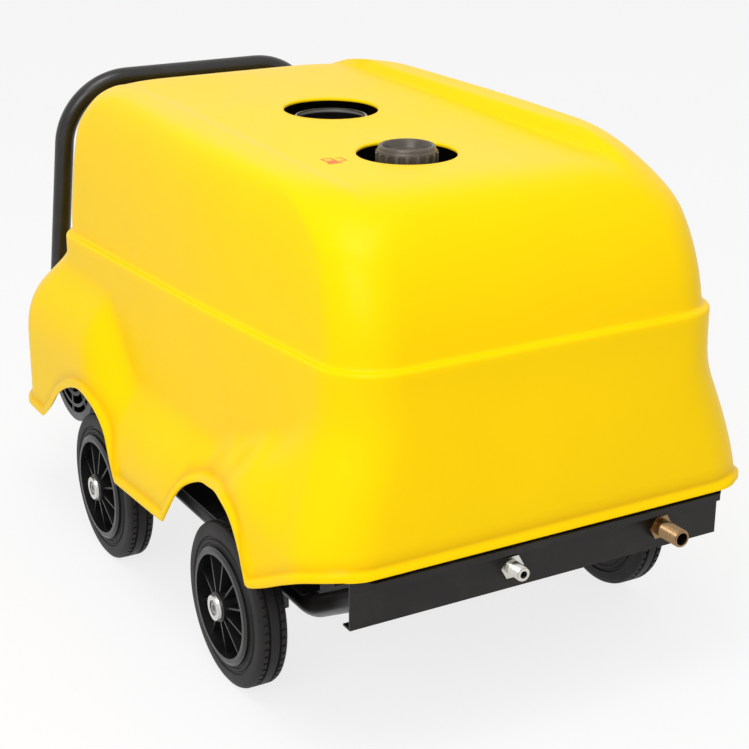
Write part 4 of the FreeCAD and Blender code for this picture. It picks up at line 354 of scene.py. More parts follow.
def make_finishes():
    return {
        "frame_black": finish_of("frame black", (0.008, 0.0072, 0.006), 0.33, shade=0.7, patch=9.0, grain=1400.0,
                                 grain_depth=0.00005, dust=0.05),
        "plate_black": finish_of("plate black", (0.008, 0.0066, 0.005), 0.38, shade=0.5, patch=6.0, gloss_spread=0.1,
                                 grain=1100.0, grain_depth=0.00006, dust=0.4, scratches=0.15,
                                 dust_colour=(0.045, 0.036, 0.025), specular=0.32),
        "tray_black": finish_of("tray black", (0.03, 0.03, 0.03), 0.5, shade=0.7, patch=11.0, dust=0.2),
        "rim_black": finish_of("rim black", (0.012, 0.012, 0.012), 0.32, shade=0.7, patch=25.0, grain=1600.0),
        "hub_zinc": turned_steel("hub zinc", (0.72, 0.71, 0.68), 0.3, 0),
        "axle_steel": turned_steel("axle steel", (0.34, 0.34, 0.34), 0.38, 0),
        "bolt_zinc": finish_of("bolt zinc", (0.55, 0.54, 0.5), 0.32, metallic=1.0, patch=60.0, shade=0.75),
        "inlet_brass": turned_steel("inlet brass", (0.34, 0.22, 0.11), 0.3, 1),
        "outlet_steel": turned_steel("outlet steel", (0.72, 0.7, 0.64), 0.24, 1),
        "seal_rubber": finish_of("seal rubber", (0.02, 0.02, 0.02), 0.65),
        "tank_black": finish_of("tank black", (0.03, 0.03, 0.032), 0.45, patch=7.0, shade=0.75, grain=500.0,
                                grain_depth=0.0001, dust=0.1),
        "tank_natural": finish_of("tank natural", (0.68, 0.68, 0.62), 0.42, patch=8.0, shade=0.9, grain=400.0),
        "stainless": turned_steel("stainless", (0.6, 0.59, 0.56), 0.3, 2),
        "flue_steel": sooty_steel("flue steel"),
        "cast_alloy": finish_of("cast alloy", (0.46, 0.46, 0.45), 0.5, metallic=0.85, patch=30.0, grain=700.0,
                                grain_depth=0.0002, dust=0.2),
        "motor_grey": finish_of("motor grey", (0.07, 0.075, 0.085), 0.42, patch=12.0, grain=900.0,
                                grain_depth=0.00008, dust=0.15),
        "pump_brass": finish_of("pump brass", (0.6, 0.42, 0.18), 0.34, metallic=1.0, patch=26.0, grain=500.0,
                                grain_depth=0.0001),
        "hose_rubber": finish_of("hose rubber", (0.022, 0.022, 0.022), 0.6, patch=40.0, grain=1500.0,
                                 grain_depth=0.0001, dust=0.1),
        "coil_steel": turned_steel("coil steel", (0.24, 0.2, 0.17), 0.5, 2),
        "box_grey": finish_of("box grey", (0.1, 0.1, 0.105), 0.5, patch=16.0, grain=1300.0, grain_depth=0.0001),
        "knob_black": finish_of("knob black", (0.014, 0.014, 0.014), 0.38, patch=60.0),
        "knob_red": finish_of("knob red", (0.5, 0.02, 0.012), 0.35, patch=60.0),
        "dial_white": finish_of("dial white", (0.8, 0.8, 0.77), 0.35, patch=60.0, shade=0.95),
    }


FINISH_OF_NODE = {
    "frame_black": ["push_handle", "chassis_frame", "handle_clamps", "tank_stand", "panel_stand"],
    "plate_black": ["front_bumper_plate"],
    "tray_black": ["floor_tray"],
    "rim_black": ["front_left_rim", "front_right_rim", "rear_left_rim", "rear_right_rim", "motor_fan"],
    "hub_zinc": ["front_left_hub_ring", "front_right_hub_ring", "rear_left_hub_ring", "rear_right_hub_ring"],
    "axle_steel": ["front_axle", "rear_axle", "axle_end_screws", "motor_shaft", "coil_feed_pipe", "coil_outlet_pipe"],
    "bolt_zinc": ["clamp_bolts"],
    "inlet_brass": ["water_inlet"],
    "outlet_steel": ["pressure_outlet", "outlet_locknut"],
    "seal_rubber": ["fuel_cap_seal"],
    "tank_black": ["fuel_tank", "filler_neck"],
    "tank_natural": ["float_tank"],
    "stainless": ["boiler_shell", "boiler_lid", "blast_tube"],
    "flue_steel": ["flue_pipe"],
    "cast_alloy": ["burner_housing", "burner_fan", "pump_crankcase", "shaft_coupling"],
    "motor_grey": ["burner_motor", "motor_body", "motor_fan_cowl"],
    "pump_brass": ["pump_head", "unloader_valve"],
    "hose_rubber": ["inlet_hose", "suction_hose"],
    "coil_steel": ["heating_coil"],
    "box_grey": ["ignition_transformer", "terminal_box", "control_box"],
    "knob_black": ["pressure_knob", "thermostat_knob"],
    "knob_red": ["main_switch_knob", "gauge_needle"],
    "dial_white": ["pressure_gauge"],
}


# The hood's skin: one closed band of columns round the plan, and rows from the hem to the roof's middle

FRONT_STEPS = 10
CORNER_STEPS = 26
SIDE_STEPS = 136
HALF_COLUMNS = 2 * FRONT_STEPS + 2 * CORNER_STEPS + SIDE_STEPS
# the lip: how far it stands out, as a share of the roll, at each distance from the hem
LIP = [(0.0, 0.5), (1.2, 0.85), (3.0, 1.0), (9.5, 1.0), (11.5, 0.92), (13.5, 0.62), (15.5, 0.24), (17.5, 0.06),
       (21.0, 0.0)]
LIP_ROWS = (0.0, 1.2, 3.0, 6.0, 9.5, 11.5, 13.5, 15.5, 17.5, 21.0, 27.0, 36.0)
# painted shade in the fold above the lip, row by row: how far the colour darkens there
LIP_PAINTED_SHADE = (0.3, 0.0, 0.0, 0.0, 0.0, 0.1, 0.5, 1.0, 1.0, 0.6, 0.25, 0.0)
HEM_STEP = 0.6
# a column's search for the hem starts at this height and takes this many rounds
HEM_FIRST_Z = 200.0
HEM_SEARCHES = 8
# the rows above a steep hem spread with its slope, which is taken this far to each side, and at most by this factor
SLOPE_REACH = 9.0
STEEPEST = 1.8
SKIRT_ROWS = 32
ROUND_STEPS = 4
LEDGE_R = 6.0
FILLET_R = 6.0
CAB_WALL_ROWS = 5
CAB_WALL_TOP = 606.0
CAB_CROWN_ROWS = 30
RIM_ROWS = 12
RIM_BAND = 48.0
PANEL_ROWS = 4


def skirt_half(y, z):
    """Half the skirt's width: upright at the belt, flared over the wheels."""
    base = along(BELT_HALF, y)
    t = (along(FLARE_TOP, y) - z) / (along(FLARE_TOP, y) - along(FLARE_FULL, y))
    t = max(0.0, min(1.0, t))
    soft = t * t / (2 * FLARE_FOLD) if t < FLARE_FOLD else t - FLARE_FOLD / 2
    swell = 1 - (1 - soft / (1 - FLARE_FOLD / 2)) ** along(FLARE_BULGE, y)
    return base + (along(FLARE_HALF, y) - base) * swell


def skirt_ends(z):
    """Front, rear and corner radii of the skirt's plan at height z."""
    front = SKIRT_FRONT_Y - SKIRT_NOSE * ease((CAB_FOOT_Z - z) / SKIRT_NOSE_RUN)
    t = max(0.0, min(1.0, (SKIRT_TAIL_TOP_Z - z) / SKIRT_TAIL_RUN))
    top = CAB_REAR_Y + BELT_LEDGE
    return front, top + (SKIRT_TAIL_Y - top) * (1 - (1 - t) ** 3), SKIRT_CORNER_FRONT, SKIRT_CORNER_REAR


def cab_rise(z):
    """How far up the cab a height is, from 0 to 1."""
    return max(0.0, min(1.0, (z - CAB_FOOT_Z) / (ROOF_RIDGE_Z - CAB_FOOT_Z)))


def rounding(t):
    """From 0 at the cab's foot to 1 at its top, nearly all of it close to the top."""
    return 1 - (1 - t ** 3) ** (1 / 3)


def cab_half(y, z):
    """Half the cab's width: it leans in a little, and rounds over into the roof."""
    t = cab_rise(z)
    return along(CAB_HALF, y) - along(CAB_LEAN, y) * t - CROWN_SIDE * rounding(t)


def cab_ends(z):
    """Front, rear and corner radii of the cab's plan at height z."""
    t = cab_rise(z)
    corner = CAB_CORNER + ROOF_CORNER * ease((z - ROOF_CORNER_Z) / ROOF_CORNER_RUN)
    front = CAB_FRONT_Y + CROWN_FRONT * (1 - math.sqrt(1 - t * t))
    rear = CAB_REAR_Y - REAR_LEAN * t - CROWN_REAR * rounding(t) - REAR_EDGE * t ** 20
    return front, rear, corner, corner


def plan_point(column, z, half, ends):
    """Where a column crosses height z, and which way it faces there, on the right half of the plan."""
    front, rear, r_front, r_rear = ends(z)
    if column <= FRONT_STEPS:
        width = half(front + r_front, z) - r_front
        return width * column / FRONT_STEPS, front, (0.0, -1.0)
    column -= FRONT_STEPS
    if column <= CORNER_STEPS:
        a = math.pi / 2 * column / CORNER_STEPS
        x = half(front + r_front, z) - r_front + r_front * math.sin(a)
        return x, front + r_front - r_front * math.cos(a), (math.sin(a), -math.cos(a))
    column -= CORNER_STEPS
    if column <= SIDE_STEPS:
        y = front + r_front + (rear - r_rear - front - r_front) * column / SIDE_STEPS
        return half(y, z), y, (1.0, 0.0)
    column -= SIDE_STEPS
    if column <= CORNER_STEPS:
        a = math.pi / 2 * column / CORNER_STEPS
        x = half(rear - r_rear, z) - r_rear + r_rear * math.cos(a)
        return x, rear - r_rear + r_rear * math.sin(a), (math.cos(a), math.sin(a))
    column -= CORNER_STEPS
    width = half(rear - r_rear, z) - r_rear
    return width * (1 - column / FRONT_STEPS), rear, (0.0, 1.0)


def smooth_line(points):
    """A smooth line through the points, as many short steps."""
    points = [Vector((y, z, 0)) for y, z in points]
    runs = [(q - p).length for p, q in zip(points, points[1:])]
    slopes = [(points[k + 1] - points[k - 1]) / (runs[k - 1] + runs[k]) for k in range(1, len(points) - 1)]
    first = 2 * (points[1] - points[0]) / runs[0] - slopes[0]
    last = 2 * (points[-1] - points[-2]) / runs[-1] - slopes[-1]
    slopes = [first] + slopes + [last]
    line = []
    for k, run in enumerate(runs):
        start, stop = points[k], points[k + 1]
        line += interpolate_bezier(start, start + slopes[k] * run / 3, stop - slopes[k + 1] * run / 3, stop,
                                   max(2, round(run / HEM_STEP)))
    return line


def make_hem():
    """The hem line as points in (y, z): smooth arcs over the wheels, straight between them."""
    line = []
    ends = [(-HEM_PAST_ENDS, HEM[0][0][1])] + [arc[0] for arc in HEM[1:]] + [(HEM_PAST_ENDS, HEM_TAIL_Z)]
    line.append(Vector((*ends[0], 0)))
    for arc, after in zip(HEM, ends[1:]):
        line += smooth_line(arc)
        start, stop = line[-1], Vector((*after, 0))
        count = round((stop - start).length / HEM_STEP)
        line += [start.lerp(stop, k / count) for k in range(1, count + 1)]
    return line


HEM_LINE = make_hem()
HEM_TREE = KDTree(len(HEM_LINE))
for number, point in enumerate(HEM_LINE):
    HEM_TREE.insert(point, number)
HEM_TREE.balance()


def hem_height(y):
    """Height of the hem line at y."""
    low, high = 0, len(HEM_LINE) - 1
    while high - low > 1:
        middle = (low + high) // 2
        if HEM_LINE[middle].x < y:
            low = middle
        else:
            high = middle
    p, q = HEM_LINE[low], HEM_LINE[high]
    return p.y + (q.y - p.y) * (y - p.x) / (q.x - p.x)


def lip(away):
    """How far the lip stands out at a distance from the hem."""
    for (d0, v0), (d1, v1) in zip(LIP, LIP[1:]):
        if away <= d1:
            return HEM_ROLL * (v0 + (v1 - v0) * (away - d0) / (d1 - d0))
    return 0.0


def soft_min(a, b, blend):
    """The lower of two heights, rounded off where they are close."""
    h = max(blend - abs(a - b), 0.0) / blend
    return min(a, b) - h * h * blend / 4


def crease(x):
    """How wide the fold between the sunk panel and the bends beside it blends at x."""
    return FLANK_BLEND + (PANEL_BLEND - FLANK_BLEND) * (1 - ease((x - BLEND_X) / BLEND_RUN))


def panel_climb(y):
    """How far the sunk roof panel has climbed at y, on its way to the back."""
    return PANEL_CLIMB * ease((y - PANEL_CLIMB_Y) / PANEL_CLIMB_RUN)


def roof_limit(x, y):
    """Height that the sunk roof panel and the flanks of its ridges allow. The left ridge is the low one."""
    ridge = RIGHT_RIDGE if x > 0 else LEFT_RIDGE
    return ROOF_PANEL_Z + panel_climb(y) + ridge * ease((abs(x) - ROOF_PANEL_HALF) / RIDGE_FLANK)


def roof_height(x, y, crown):
    """Height of the skin at a point, where the crown alone would be this high."""
    blend = crease(x)
    # the blend would lower the panel under a full crown, so the limit is raised by as much
    short = max(blend - ROOF_RIDGE_Z + ROOF_PANEL_Z + panel_climb(y), 0.0)
    return soft_min(crown, roof_limit(x, y) + short * short / (4 * blend), blend)


def hood_rows(column):
    """The points of one column, hem first, on the right half."""
    points = []
    hem = HEM_FIRST_Z
    for _ in range(HEM_SEARCHES):
        y = plan_point(column, hem, skirt_half, skirt_ends)[1]
        hem = hem_height(y)
    facing = plan_point(column, hem, skirt_half, skirt_ends)[2]
    slope = (hem_height(y + SLOPE_REACH) - hem_height(y - SLOPE_REACH)) / (2 * SLOPE_REACH)
    steep = min(STEEPEST, math.hypot(1.0, slope * facing[0]))
    belt = BELT_FRONT_Z - BELT_FALL * (y - BELT_Y)
    for height in LIP_ROWS:
        z = hem + height * steep
        x, y_at, way = plan_point(column, z, skirt_half, skirt_ends)
        out = lip(HEM_TREE.find((y_at, z, 0))[2] if height else 0.0)
        points.append((min(x + way[0] * out, HEM_HALF_MAX), y_at + way[1] * out, z))
    start = points[-1][2]
    for k in range(1, SKIRT_ROWS + 1):
        z = start + (belt - LEDGE_R - start) * k / SKIRT_ROWS
        x, y_at, _ = plan_point(column, z, skirt_half, skirt_ends)
        points.append((x, y_at, z))
    outer = plan_point(column, belt, skirt_half, skirt_ends)
    inner = plan_point(column, belt, cab_half, cab_ends)
    ledge = math.hypot(inner[0] - outer[0], inner[1] - outer[1])
    way = ((inner[0] - outer[0]) / ledge, (inner[1] - outer[1]) / ledge)
    for k in range(1, ROUND_STEPS + 1):
        a = math.pi / 2 * k / ROUND_STEPS
        reach = LEDGE_R * (1 - math.cos(a))
        points.append((outer[0] + way[0] * reach, outer[1] + way[1] * reach, belt - LEDGE_R + LEDGE_R * math.sin(a)))
    for k in range(ROUND_STEPS + 1):
        a = math.pi / 2 * k / ROUND_STEPS
        back = FILLET_R * (1 - math.sin(a))
        points.append((inner[0] - way[0] * back, inner[1] - way[1] * back, belt + FILLET_R * (1 - math.cos(a))))
    start = belt + FILLET_R
    heights = [start + (CAB_WALL_TOP - start) * k / CAB_WALL_ROWS for k in range(1, CAB_WALL_ROWS + 1)]
    low = math.asin(cab_rise(CAB_WALL_TOP))
    for k in range(1, CAB_CROWN_ROWS + 1):
        a = low + (math.pi / 2 - low) * k / CAB_CROWN_ROWS
        heights.append(CAB_FOOT_Z + (ROOF_RIDGE_Z - CAB_FOOT_Z) * math.sin(a))
    for z in heights:
        x, y_at, _ = plan_point(column, z, cab_half, cab_ends)
        points.append((x, y_at, z))
    rim_x, rim_y, _ = plan_point(column, ROOF_RIDGE_Z, cab_half, cab_ends)
    front, rear = cab_ends(ROOF_RIDGE_Z)[:2]
    reach = cab_half(0, ROOF_RIDGE_Z)
    heart_y = min(max(rim_y, front + reach), rear - reach)
    run = math.hypot(rim_x, heart_y - rim_y)
    band = min(RIM_BAND / run, 0.9)
    shares = [band * k / RIM_ROWS for k in range(1, RIM_ROWS + 1)]
    shares += [band + (1 - band) * k / PANEL_ROWS for k in range(1, PANEL_ROWS + 1)]
    for share in shares:
        x = rim_x * (1 - share)
        points.append((x, rim_y + (heart_y - rim_y) * share, ROOF_RIDGE_Z))
    return points


def make_hood(wall, outside, inner_painted_shade):
    """The hood's shell: a grid laid over the skin, thickened inwards, with its holes cut out. Its inner faces take a
    near black material, painted shade inside the hood.
    """
    columns = [hood_rows(k) for k in range(HALF_COLUMNS + 1)]
    columns += [[(-x, y, z) for x, y, z in columns[k]] for k in range(HALF_COLUMNS - 1, -1, -1)]
    columns = [[(x, y, roof_height(x, y, z)) for x, y, z in points] for points in columns]
    rows = len(columns[0])
    bm = bmesh.new()
    bmesh.ops.create_grid(bm, x_segments=len(columns) - 1, y_segments=rows - 1, size=1.0)
    # the fold layer holds the painted shade of the fold above the lip, set on each vertex by its row
    fold = bm.verts.layers.float.new("fold")
    for vert in bm.verts:
        k = round((vert.co.x + 1) / 2 * (len(columns) - 1))
        row = round((vert.co.y + 1) / 2 * (rows - 1))
        vert.co = at_mm(*columns[k][row])
        vert[fold] = LIP_PAINTED_SHADE[row] if row < len(LIP_PAINTED_SHADE) else 0.0
    bmesh.ops.remove_doubles(bm, verts=bm.verts, dist=0.0001)
    bmesh.ops.recalc_face_normals(bm, faces=bm.faces)
    top = max(bm.faces, key=lambda f: f.calc_center_median().z)
    if top.normal.z < 0:
        bmesh.ops.reverse_faces(bm, faces=bm.faces)
    hood = mesh_object("hood_shell", bm)
    hood.data.materials.append(outside)
    hood.data.materials.append(inner_painted_shade)
    skin = hood.modifiers.new("wall", "SOLIDIFY")
    skin.thickness = wall
    skin.offset = -1
    # the inner faces take the second material, the near black painted shade
    skin.material_offset = 1
    cut = hood.modifiers.new("holes", "BOOLEAN")
    cutter = hood_cutter()
    cut.object = cutter
    cut.solver = "EXACT"
    bpy.context.view_layer.update()
    settled(hood)
    bpy.data.objects.remove(cutter)
    return hood


LIP_SEGMENTS = 120
LIP_STEPS = 8
CUT_DEPTH = 0.06


def hood_cutter():
    """What the holes take out of the hood: two round ones in the roof and the window in the rear wall."""
    bm = bmesh.new()
    for (x, y), radius in ((FLUE_AT, FLUE_HOLE_R), (FILLER_AT, FILLER_HOLE_R)):
        place = Matrix.Translation(at_mm(x, y, ROOF_PANEL_Z))
        r = (radius + HOLE_LIP) / 1000
        bmesh.ops.create_cone(bm, cap_ends=True, segments=LIP_SEGMENTS, radius1=r, radius2=r, depth=CUT_DEPTH,
                              matrix=place)
    window = bmesh.ops.create_cube(bm, size=1.0)["verts"]
    middle = at_mm(0, CAB_REAR_Y, (WINDOW_Z[0] + WINDOW_Z[1]) / 2)
    size = Vector((2 * WINDOW_HALF, 2000 * CUT_DEPTH, WINDOW_Z[1] - WINDOW_Z[0])) / 1000
    bmesh.ops.transform(bm, matrix=Matrix.Translation(middle) @ Matrix.Diagonal((*size, 1.0)), verts=window)
    uprights = [e for e in {e for v in window for e in v.link_edges}
                if abs((e.verts[0].co - e.verts[1].co).y) > CUT_DEPTH]
    bmesh.ops.bevel(bm, geom=uprights, offset=WINDOW_CORNER / 1000, segments=5, profile=0.5, affect="EDGES",
                    material=-1)
    return mesh_object("hood_cutter", bm)


def make_lip(name, centre, radius, wall):
    """The rolled edge of a round hole: it leaves the roof flat and turns down into the hole."""
    wall_mm = wall * 1000
    profile = []
    for k in range(LIP_STEPS + 1):
        a = math.pi / 2 * k / LIP_STEPS
        profile.append((radius + HOLE_LIP * (1 - math.sin(a)), ROOF_PANEL_Z - HOLE_LIP_DEPTH * (1 - math.cos(a))))
    under = ROOF_PANEL_Z - wall_mm
    profile += [(radius, under + LIP_EDGE), (radius + LIP_EDGE, under), (radius + HOLE_LIP, under)]
    piece = ring(name, profile, centre, LIP_SEGMENTS)
    for vert in piece.data.vertices:
        vert.co.z += panel_climb(vert.co.y * 1000 + DATUM_Y) / 1000
    return piece


def hood_finish(settings):
    """Moulded plastic: even colour, a slightly uneven gloss and the faint ripple of a moulded skin, with painted
    shade darkening the fold above the lip.
    """
    material = finish_of("hood yellow", tuple(settings.colour), settings.roughness, shade=0.965, patch=3.2,
                         gloss_spread=0.05, grain=650.0, grain_depth=0.00006, specular=0.07)
    nodes, links = material.node_tree.nodes, material.node_tree.links
    shader = nodes["Principled BSDF"]
    # painted shade: where the fold layer says so, the yellow darkens towards deep orange in the fold above the lip
    fold = nodes.new("ShaderNodeAttribute")
    fold.attribute_name = "fold"
    clean = shader.inputs["Base Color"].links[0].from_socket
    depth = ranged(nodes, links, fold.outputs["Fac"], 0.0, 1.0, 0.0, 0.55)
    links.new(blended(nodes, links, depth, clean, (0.72, 0.38, 0.0)), shader.inputs["Base Color"])
    fine = shader.inputs["Normal"].links[0].from_socket
    coords = nodes.new("ShaderNodeTexCoord").outputs["Object"]
    ripple = nodes.new("ShaderNodeBump")
    ripple.inputs["Strength"].default_value = 0.25
    ripple.inputs["Distance"].default_value = 0.0012
    links.new(noise(nodes, links, coords, 7.0, 1.0), ripple.inputs["Height"])
    links.new(fine, ripple.inputs["Normal"])
    links.new(ripple.outputs["Normal"], shader.inputs["Normal"])
    return material


class WASHER_OT_dress(bpy.types.Operator):
    """Give every piece of the frame its finish"""
    bl_idname = "washer.dress"
    bl_label = "Dress the frame"

    def execute(self, context):
        finishes = make_finishes()
        for finish, nodes in FINISH_OF_NODE.items():
            for node in nodes:
                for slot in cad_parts[node].material_slots:
                    slot.material = finishes[finish]
        return {"FINISHED"}


class WASHER_OT_hood(bpy.types.Operator):
    """Model the moulded hood with its rolled holes"""
    bl_idname = "washer.hood"
    bl_label = "Hood"

    def execute(self, context):
        settings = context.scene.washer_hood
        material = hood_finish(settings)
        # painted shade: the inside of the hood is coloured near black for the shade there, though the moulding is
        # yellow through
        inner_painted_shade = finish_of("hood lining", (0.012, 0.011, 0.01), 0.8, patch=20.0, grain=300.0, grain_depth=0.0003)
        shell = make_hood(settings.wall, material, inner_painted_shade)
        lips = [make_lip("flue_hole_lip", FLUE_AT, FLUE_HOLE_R, settings.wall),
                make_lip("filler_hole_lip", FILLER_AT, FILLER_HOLE_R, settings.wall)]
        for piece in lips:
            piece.data.materials.append(material)
        for piece in [shell] + lips:
            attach(piece, "hood")
            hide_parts("hood")
        return {"FINISHED"}


MARK_AT = (-155.0, -149.0)
MARK_SCALE = 1.6
# the sign's bars: x from and to, y from and to
MARK_BARS = [(-11, 3, -10, -6.5), (-9.5, 1.5, -6.5, 1), (-9.5, -7.5, 1, 9), (-0.5, 1.5, 1, 9), (-9.5, 1.5, 8, 10),
             (3, 8.5, -5, -3.2), (8.5, 10.3, -5, 6), (4.6, 10.3, 6, 7.6)]


def make_fuel_mark():
    """A fuel pump sign, as thin print on the roof."""
    bm = bmesh.new()
    for x0, x1, y0, y1 in [[v * MARK_SCALE for v in bar] for bar in MARK_BARS]:
        x, y = MARK_AT[0] + (x0 + x1) / 2, MARK_AT[1] + (y0 + y1) / 2
        place = Matrix.Translation(at_mm(x, y, roof_height(x, y, ROOF_RIDGE_Z) + 0.1))
        size = Matrix.Diagonal(((x1 - x0) / 1000, (y1 - y0) / 1000, 0.0002, 1.0))
        bmesh.ops.create_cube(bm, size=1.0, matrix=place @ size)
    return mesh_object("fuel_mark", bm)


class WASHER_OT_fuel_mark(bpy.types.Operator):
    """Print the fuel pump sign beside the filler"""
    bl_idname = "washer.fuel_mark"
    bl_label = "Fuel mark"

    def execute(self, context):
        mark = make_fuel_mark()
        mark.data.materials.append(finish_of("fuel orange", (0.86, 0.16, 0.01), 0.5, shade=0.9, patch=90.0))
        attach(mark, "hood")
        return {"FINISHED"}


# the cap from the middle of its sunk top out over the ring and down the skirt: (radius, height)
CAP_PROFILE = [(0.0, 757.0), (31.0, 757.0), (32.6, 758.0), (34.4, 766.0), (35.8, 768.6), (37.8, 769.6),
               (39.8, 769.0), (41.2, 767.4), (41.8, 765.2), (41.9, 763.8), (42.8, 763.0), (43.5, 761.4),
               (43.6, 759.5), (43.6, 712.5), (42.8, 711.0), (41.4, 710.4), (41.2, 747.2), (0.0, 747.2)]
CAP_MIDDLE_Z = 732.0
CAP_STEPS = 12
# what tells the skirt's outer faces: how far out from the axis and how near the middle's height they are, in
# metres, and their least area in square metres
SKIRT_FACE_R = 0.0431
SKIRT_FACE_RISE = 0.021
SKIRT_FACE_AREA = 2e-5
# half a rib's width, as a share of the pitch
RIB_HALF = 0.15


def make_cap(settings):
    """Screw cap: ribbed skirt, rounded top ring and a sunk middle."""
    x, y = FILLER_AT
    bm = turned([at_mm(x + r, y, z) for r, z in CAP_PROFILE], at_mm(x, y, 0), (0, 0, 1), settings.ribs * CAP_STEPS)
    middle = at_mm(x, y, CAP_MIDDLE_Z)
    ribs = []
    for face in bm.faces:
        away = face.calc_center_median() - middle
        turn = math.atan2(away.y, away.x) / (2 * math.pi) * settings.ribs
        upright = away.xy.length > SKIRT_FACE_R and abs(away.z) < SKIRT_FACE_RISE
        if upright and face.calc_area() > SKIRT_FACE_AREA and abs(turn - round(turn)) < RIB_HALF:
            ribs.append(face)
    raised = bmesh.ops.extrude_face_region(bm, geom=ribs)["geom"]
    bmesh.ops.delete(bm, geom=ribs, context="FACES")
    for vert in [v for v in raised if isinstance(v, bmesh.types.BMVert)]:
        out = (vert.co - middle).xy.normalized() * settings.rib_height
        vert.co += Vector((out.x, out.y, 0))
    bmesh.ops.recalc_face_normals(bm, faces=bm.faces)
    cap = mesh_object("fuel_cap_ribbed", bm)
    soften = cap.modifiers.new("soft edges", "BEVEL")
    soften.width = 0.0006
    soften.segments = 2
    soften.limit_method = "ANGLE"
    soften.angle_limit = 0.7
    settled(cap)
    return cap


class WASHER_OT_cap(bpy.types.Operator):
    """Model the ribbed screw cap of the fuel tank"""
    bl_idname = "washer.cap"
    bl_label = "Fuel cap"

    def execute(self, context):
        settings = context.scene.washer_cap
        cap = make_cap(settings)
        cap.data.materials.append(finish_of("cap plastic", tuple(settings.colour), 0.36, shade=0.75, patch=35.0,
                                            grain=1400.0, grain_depth=0.00005, dust=0.25))
        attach(cap, "fuel_cap")
        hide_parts("fuel_cap")
        return {"FINISHED"}


WHEEL_PLACES = {"front_left": (-337.0, -179.3), "front_right": (337.0, -179.3),
                "rear_left": (-337.0, 306.2), "rear_right": (337.0, 306.2)}
# the cuts across the tread's two outer ribs: where they lie, how deep they are and how far they narrow, in metres,
# and the share of the pitch that each takes
SIPE_BAND = (0.0108, 0.0165)
SIPE_DEPTH = 0.0016
SIPE_TAPER = 0.0004
SIPE_SHARE = 0.33


def make_tyre(name, place, settings):
    """Solid rubber tyre: moulded rings on the sidewall, two grooves round the tread and cut shoulder ribs."""
    side = 1 if place[0] > 0 else -1
    radius, half, bore = settings.radius * 1000, settings.width * 500, settings.bore * 1000
    outer = [(half, bore), (half, bore + 6), (half - 1.2, bore + 7), (half - 1.2, bore + 9), (half, bore + 10),
             (half, bore + 14), (half - 2.6, bore + 15.5), (half - 2.6, bore + 18.5), (half - 0.4, bore + 20),
             (half - 0.2, radius - 11), (half - 1.6, radius - 5), (half - 4.2, radius - 1.4),
             (half - 7, radius - 0.2), (10.6, radius), (9.6, radius - 3.2), (7.4, radius - 3.2), (6.4, radius)]
    profile = outer + [(-x, r) for x, r in reversed(outer)]
    x, y = place
    points = [at_mm(x + side * px, y, radius + r) for px, r in profile]
    centre = at_mm(x, y, radius)
    bm = turned(points + points[:1], centre, (1, 0, 0), settings.sipes * 3)
    cuts = []
    for face in bm.faces:
        away = face.calc_center_median() - centre
        turn = math.atan2(away.z, away.y) / (2 * math.pi) * settings.sipes
        on_rib = SIPE_BAND[0] < abs(away.x) < SIPE_BAND[1] and away.yz.length > settings.radius - 0.001
        if on_rib and turn % 1.0 < SIPE_SHARE:
            cuts.append(face)
    bmesh.ops.inset_individual(bm, faces=cuts, thickness=SIPE_TAPER, depth=-SIPE_DEPTH)
    return mesh_object(name, bm, 0.5)


class WASHER_OT_tyres(bpy.types.Operator):
    """Model the four solid tyres with their moulded rings and tread"""
    bl_idname = "washer.tyres"
    bl_label = "Tyres"

    def execute(self, context):
        settings = context.scene.washer_wheels
        rubber = finish_of("tyre rubber", tuple(settings.colour), 0.58, shade=0.8, patch=18.0, grain=1100.0,
                           grain_depth=0.00012, dust=0.3, dust_colour=(0.04, 0.036, 0.031), specular=0.3)
        for wheel, place in WHEEL_PLACES.items():
            tyre = make_tyre(wheel + "_tread", place, settings)
            tyre.data.materials.append(rubber)
            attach(tyre, wheel + "_wheel")
            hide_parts(wheel + "_tyre")
        return {"FINISHED"}


def seen_white(nodes, links, surface, share):
    """Mixes in plain white for what the camera, mirrors and glass see."""
    path = nodes.new("ShaderNodeLightPath")
    total = path.outputs["Is Camera Ray"]
    for key in ("Is Glossy Ray", "Is Transmission Ray"):
        more = nodes.new("ShaderNodeMath")
        more.use_clamp = True
        links.new(total, more.inputs[0])
        links.new(path.outputs[key], more.inputs[1])
        total = more.outputs[0]
    part = nodes.new("ShaderNodeMath")
    part.operation = "MULTIPLY"
    part.inputs[1].default_value = share
    links.new(total, part.inputs[0])
    white = nodes.new("ShaderNodeBackground" if surface.node.type == "BACKGROUND" else "ShaderNodeEmission")
    white.inputs["Color"].default_value = (1, 1, 1, 1)
    white.inputs["Strength"].default_value = 1.0
    mix = nodes.new("ShaderNodeMixShader")
    links.new(part.outputs[0], mix.inputs["Fac"])
    links.new(surface, mix.inputs[1])
    links.new(white.outputs[0], mix.inputs[2])
    return mix.outputs[0]


def make_floor():
    bm = bmesh.new()
    bmesh.ops.create_grid(bm, x_segments=1, y_segments=1, size=20.0)
    floor = mesh_object("floor", bm)
    material = bpy.data.materials.new("floor pale")
    material.use_nodes = True
    nodes, links = material.node_tree.nodes, material.node_tree.links
    shader = nodes["Principled BSDF"]
    shader.inputs["Base Color"].default_value = (0.86, 0.86, 0.86, 1.0)
    shader.inputs["Roughness"].default_value = 0.9
    shader.inputs["Specular IOR Level"].default_value = 0.0
    links.new(seen_white(nodes, links, shader.outputs[0], 0.8), nodes["Material Output"].inputs["Surface"])
    floor.data.materials.append(material)


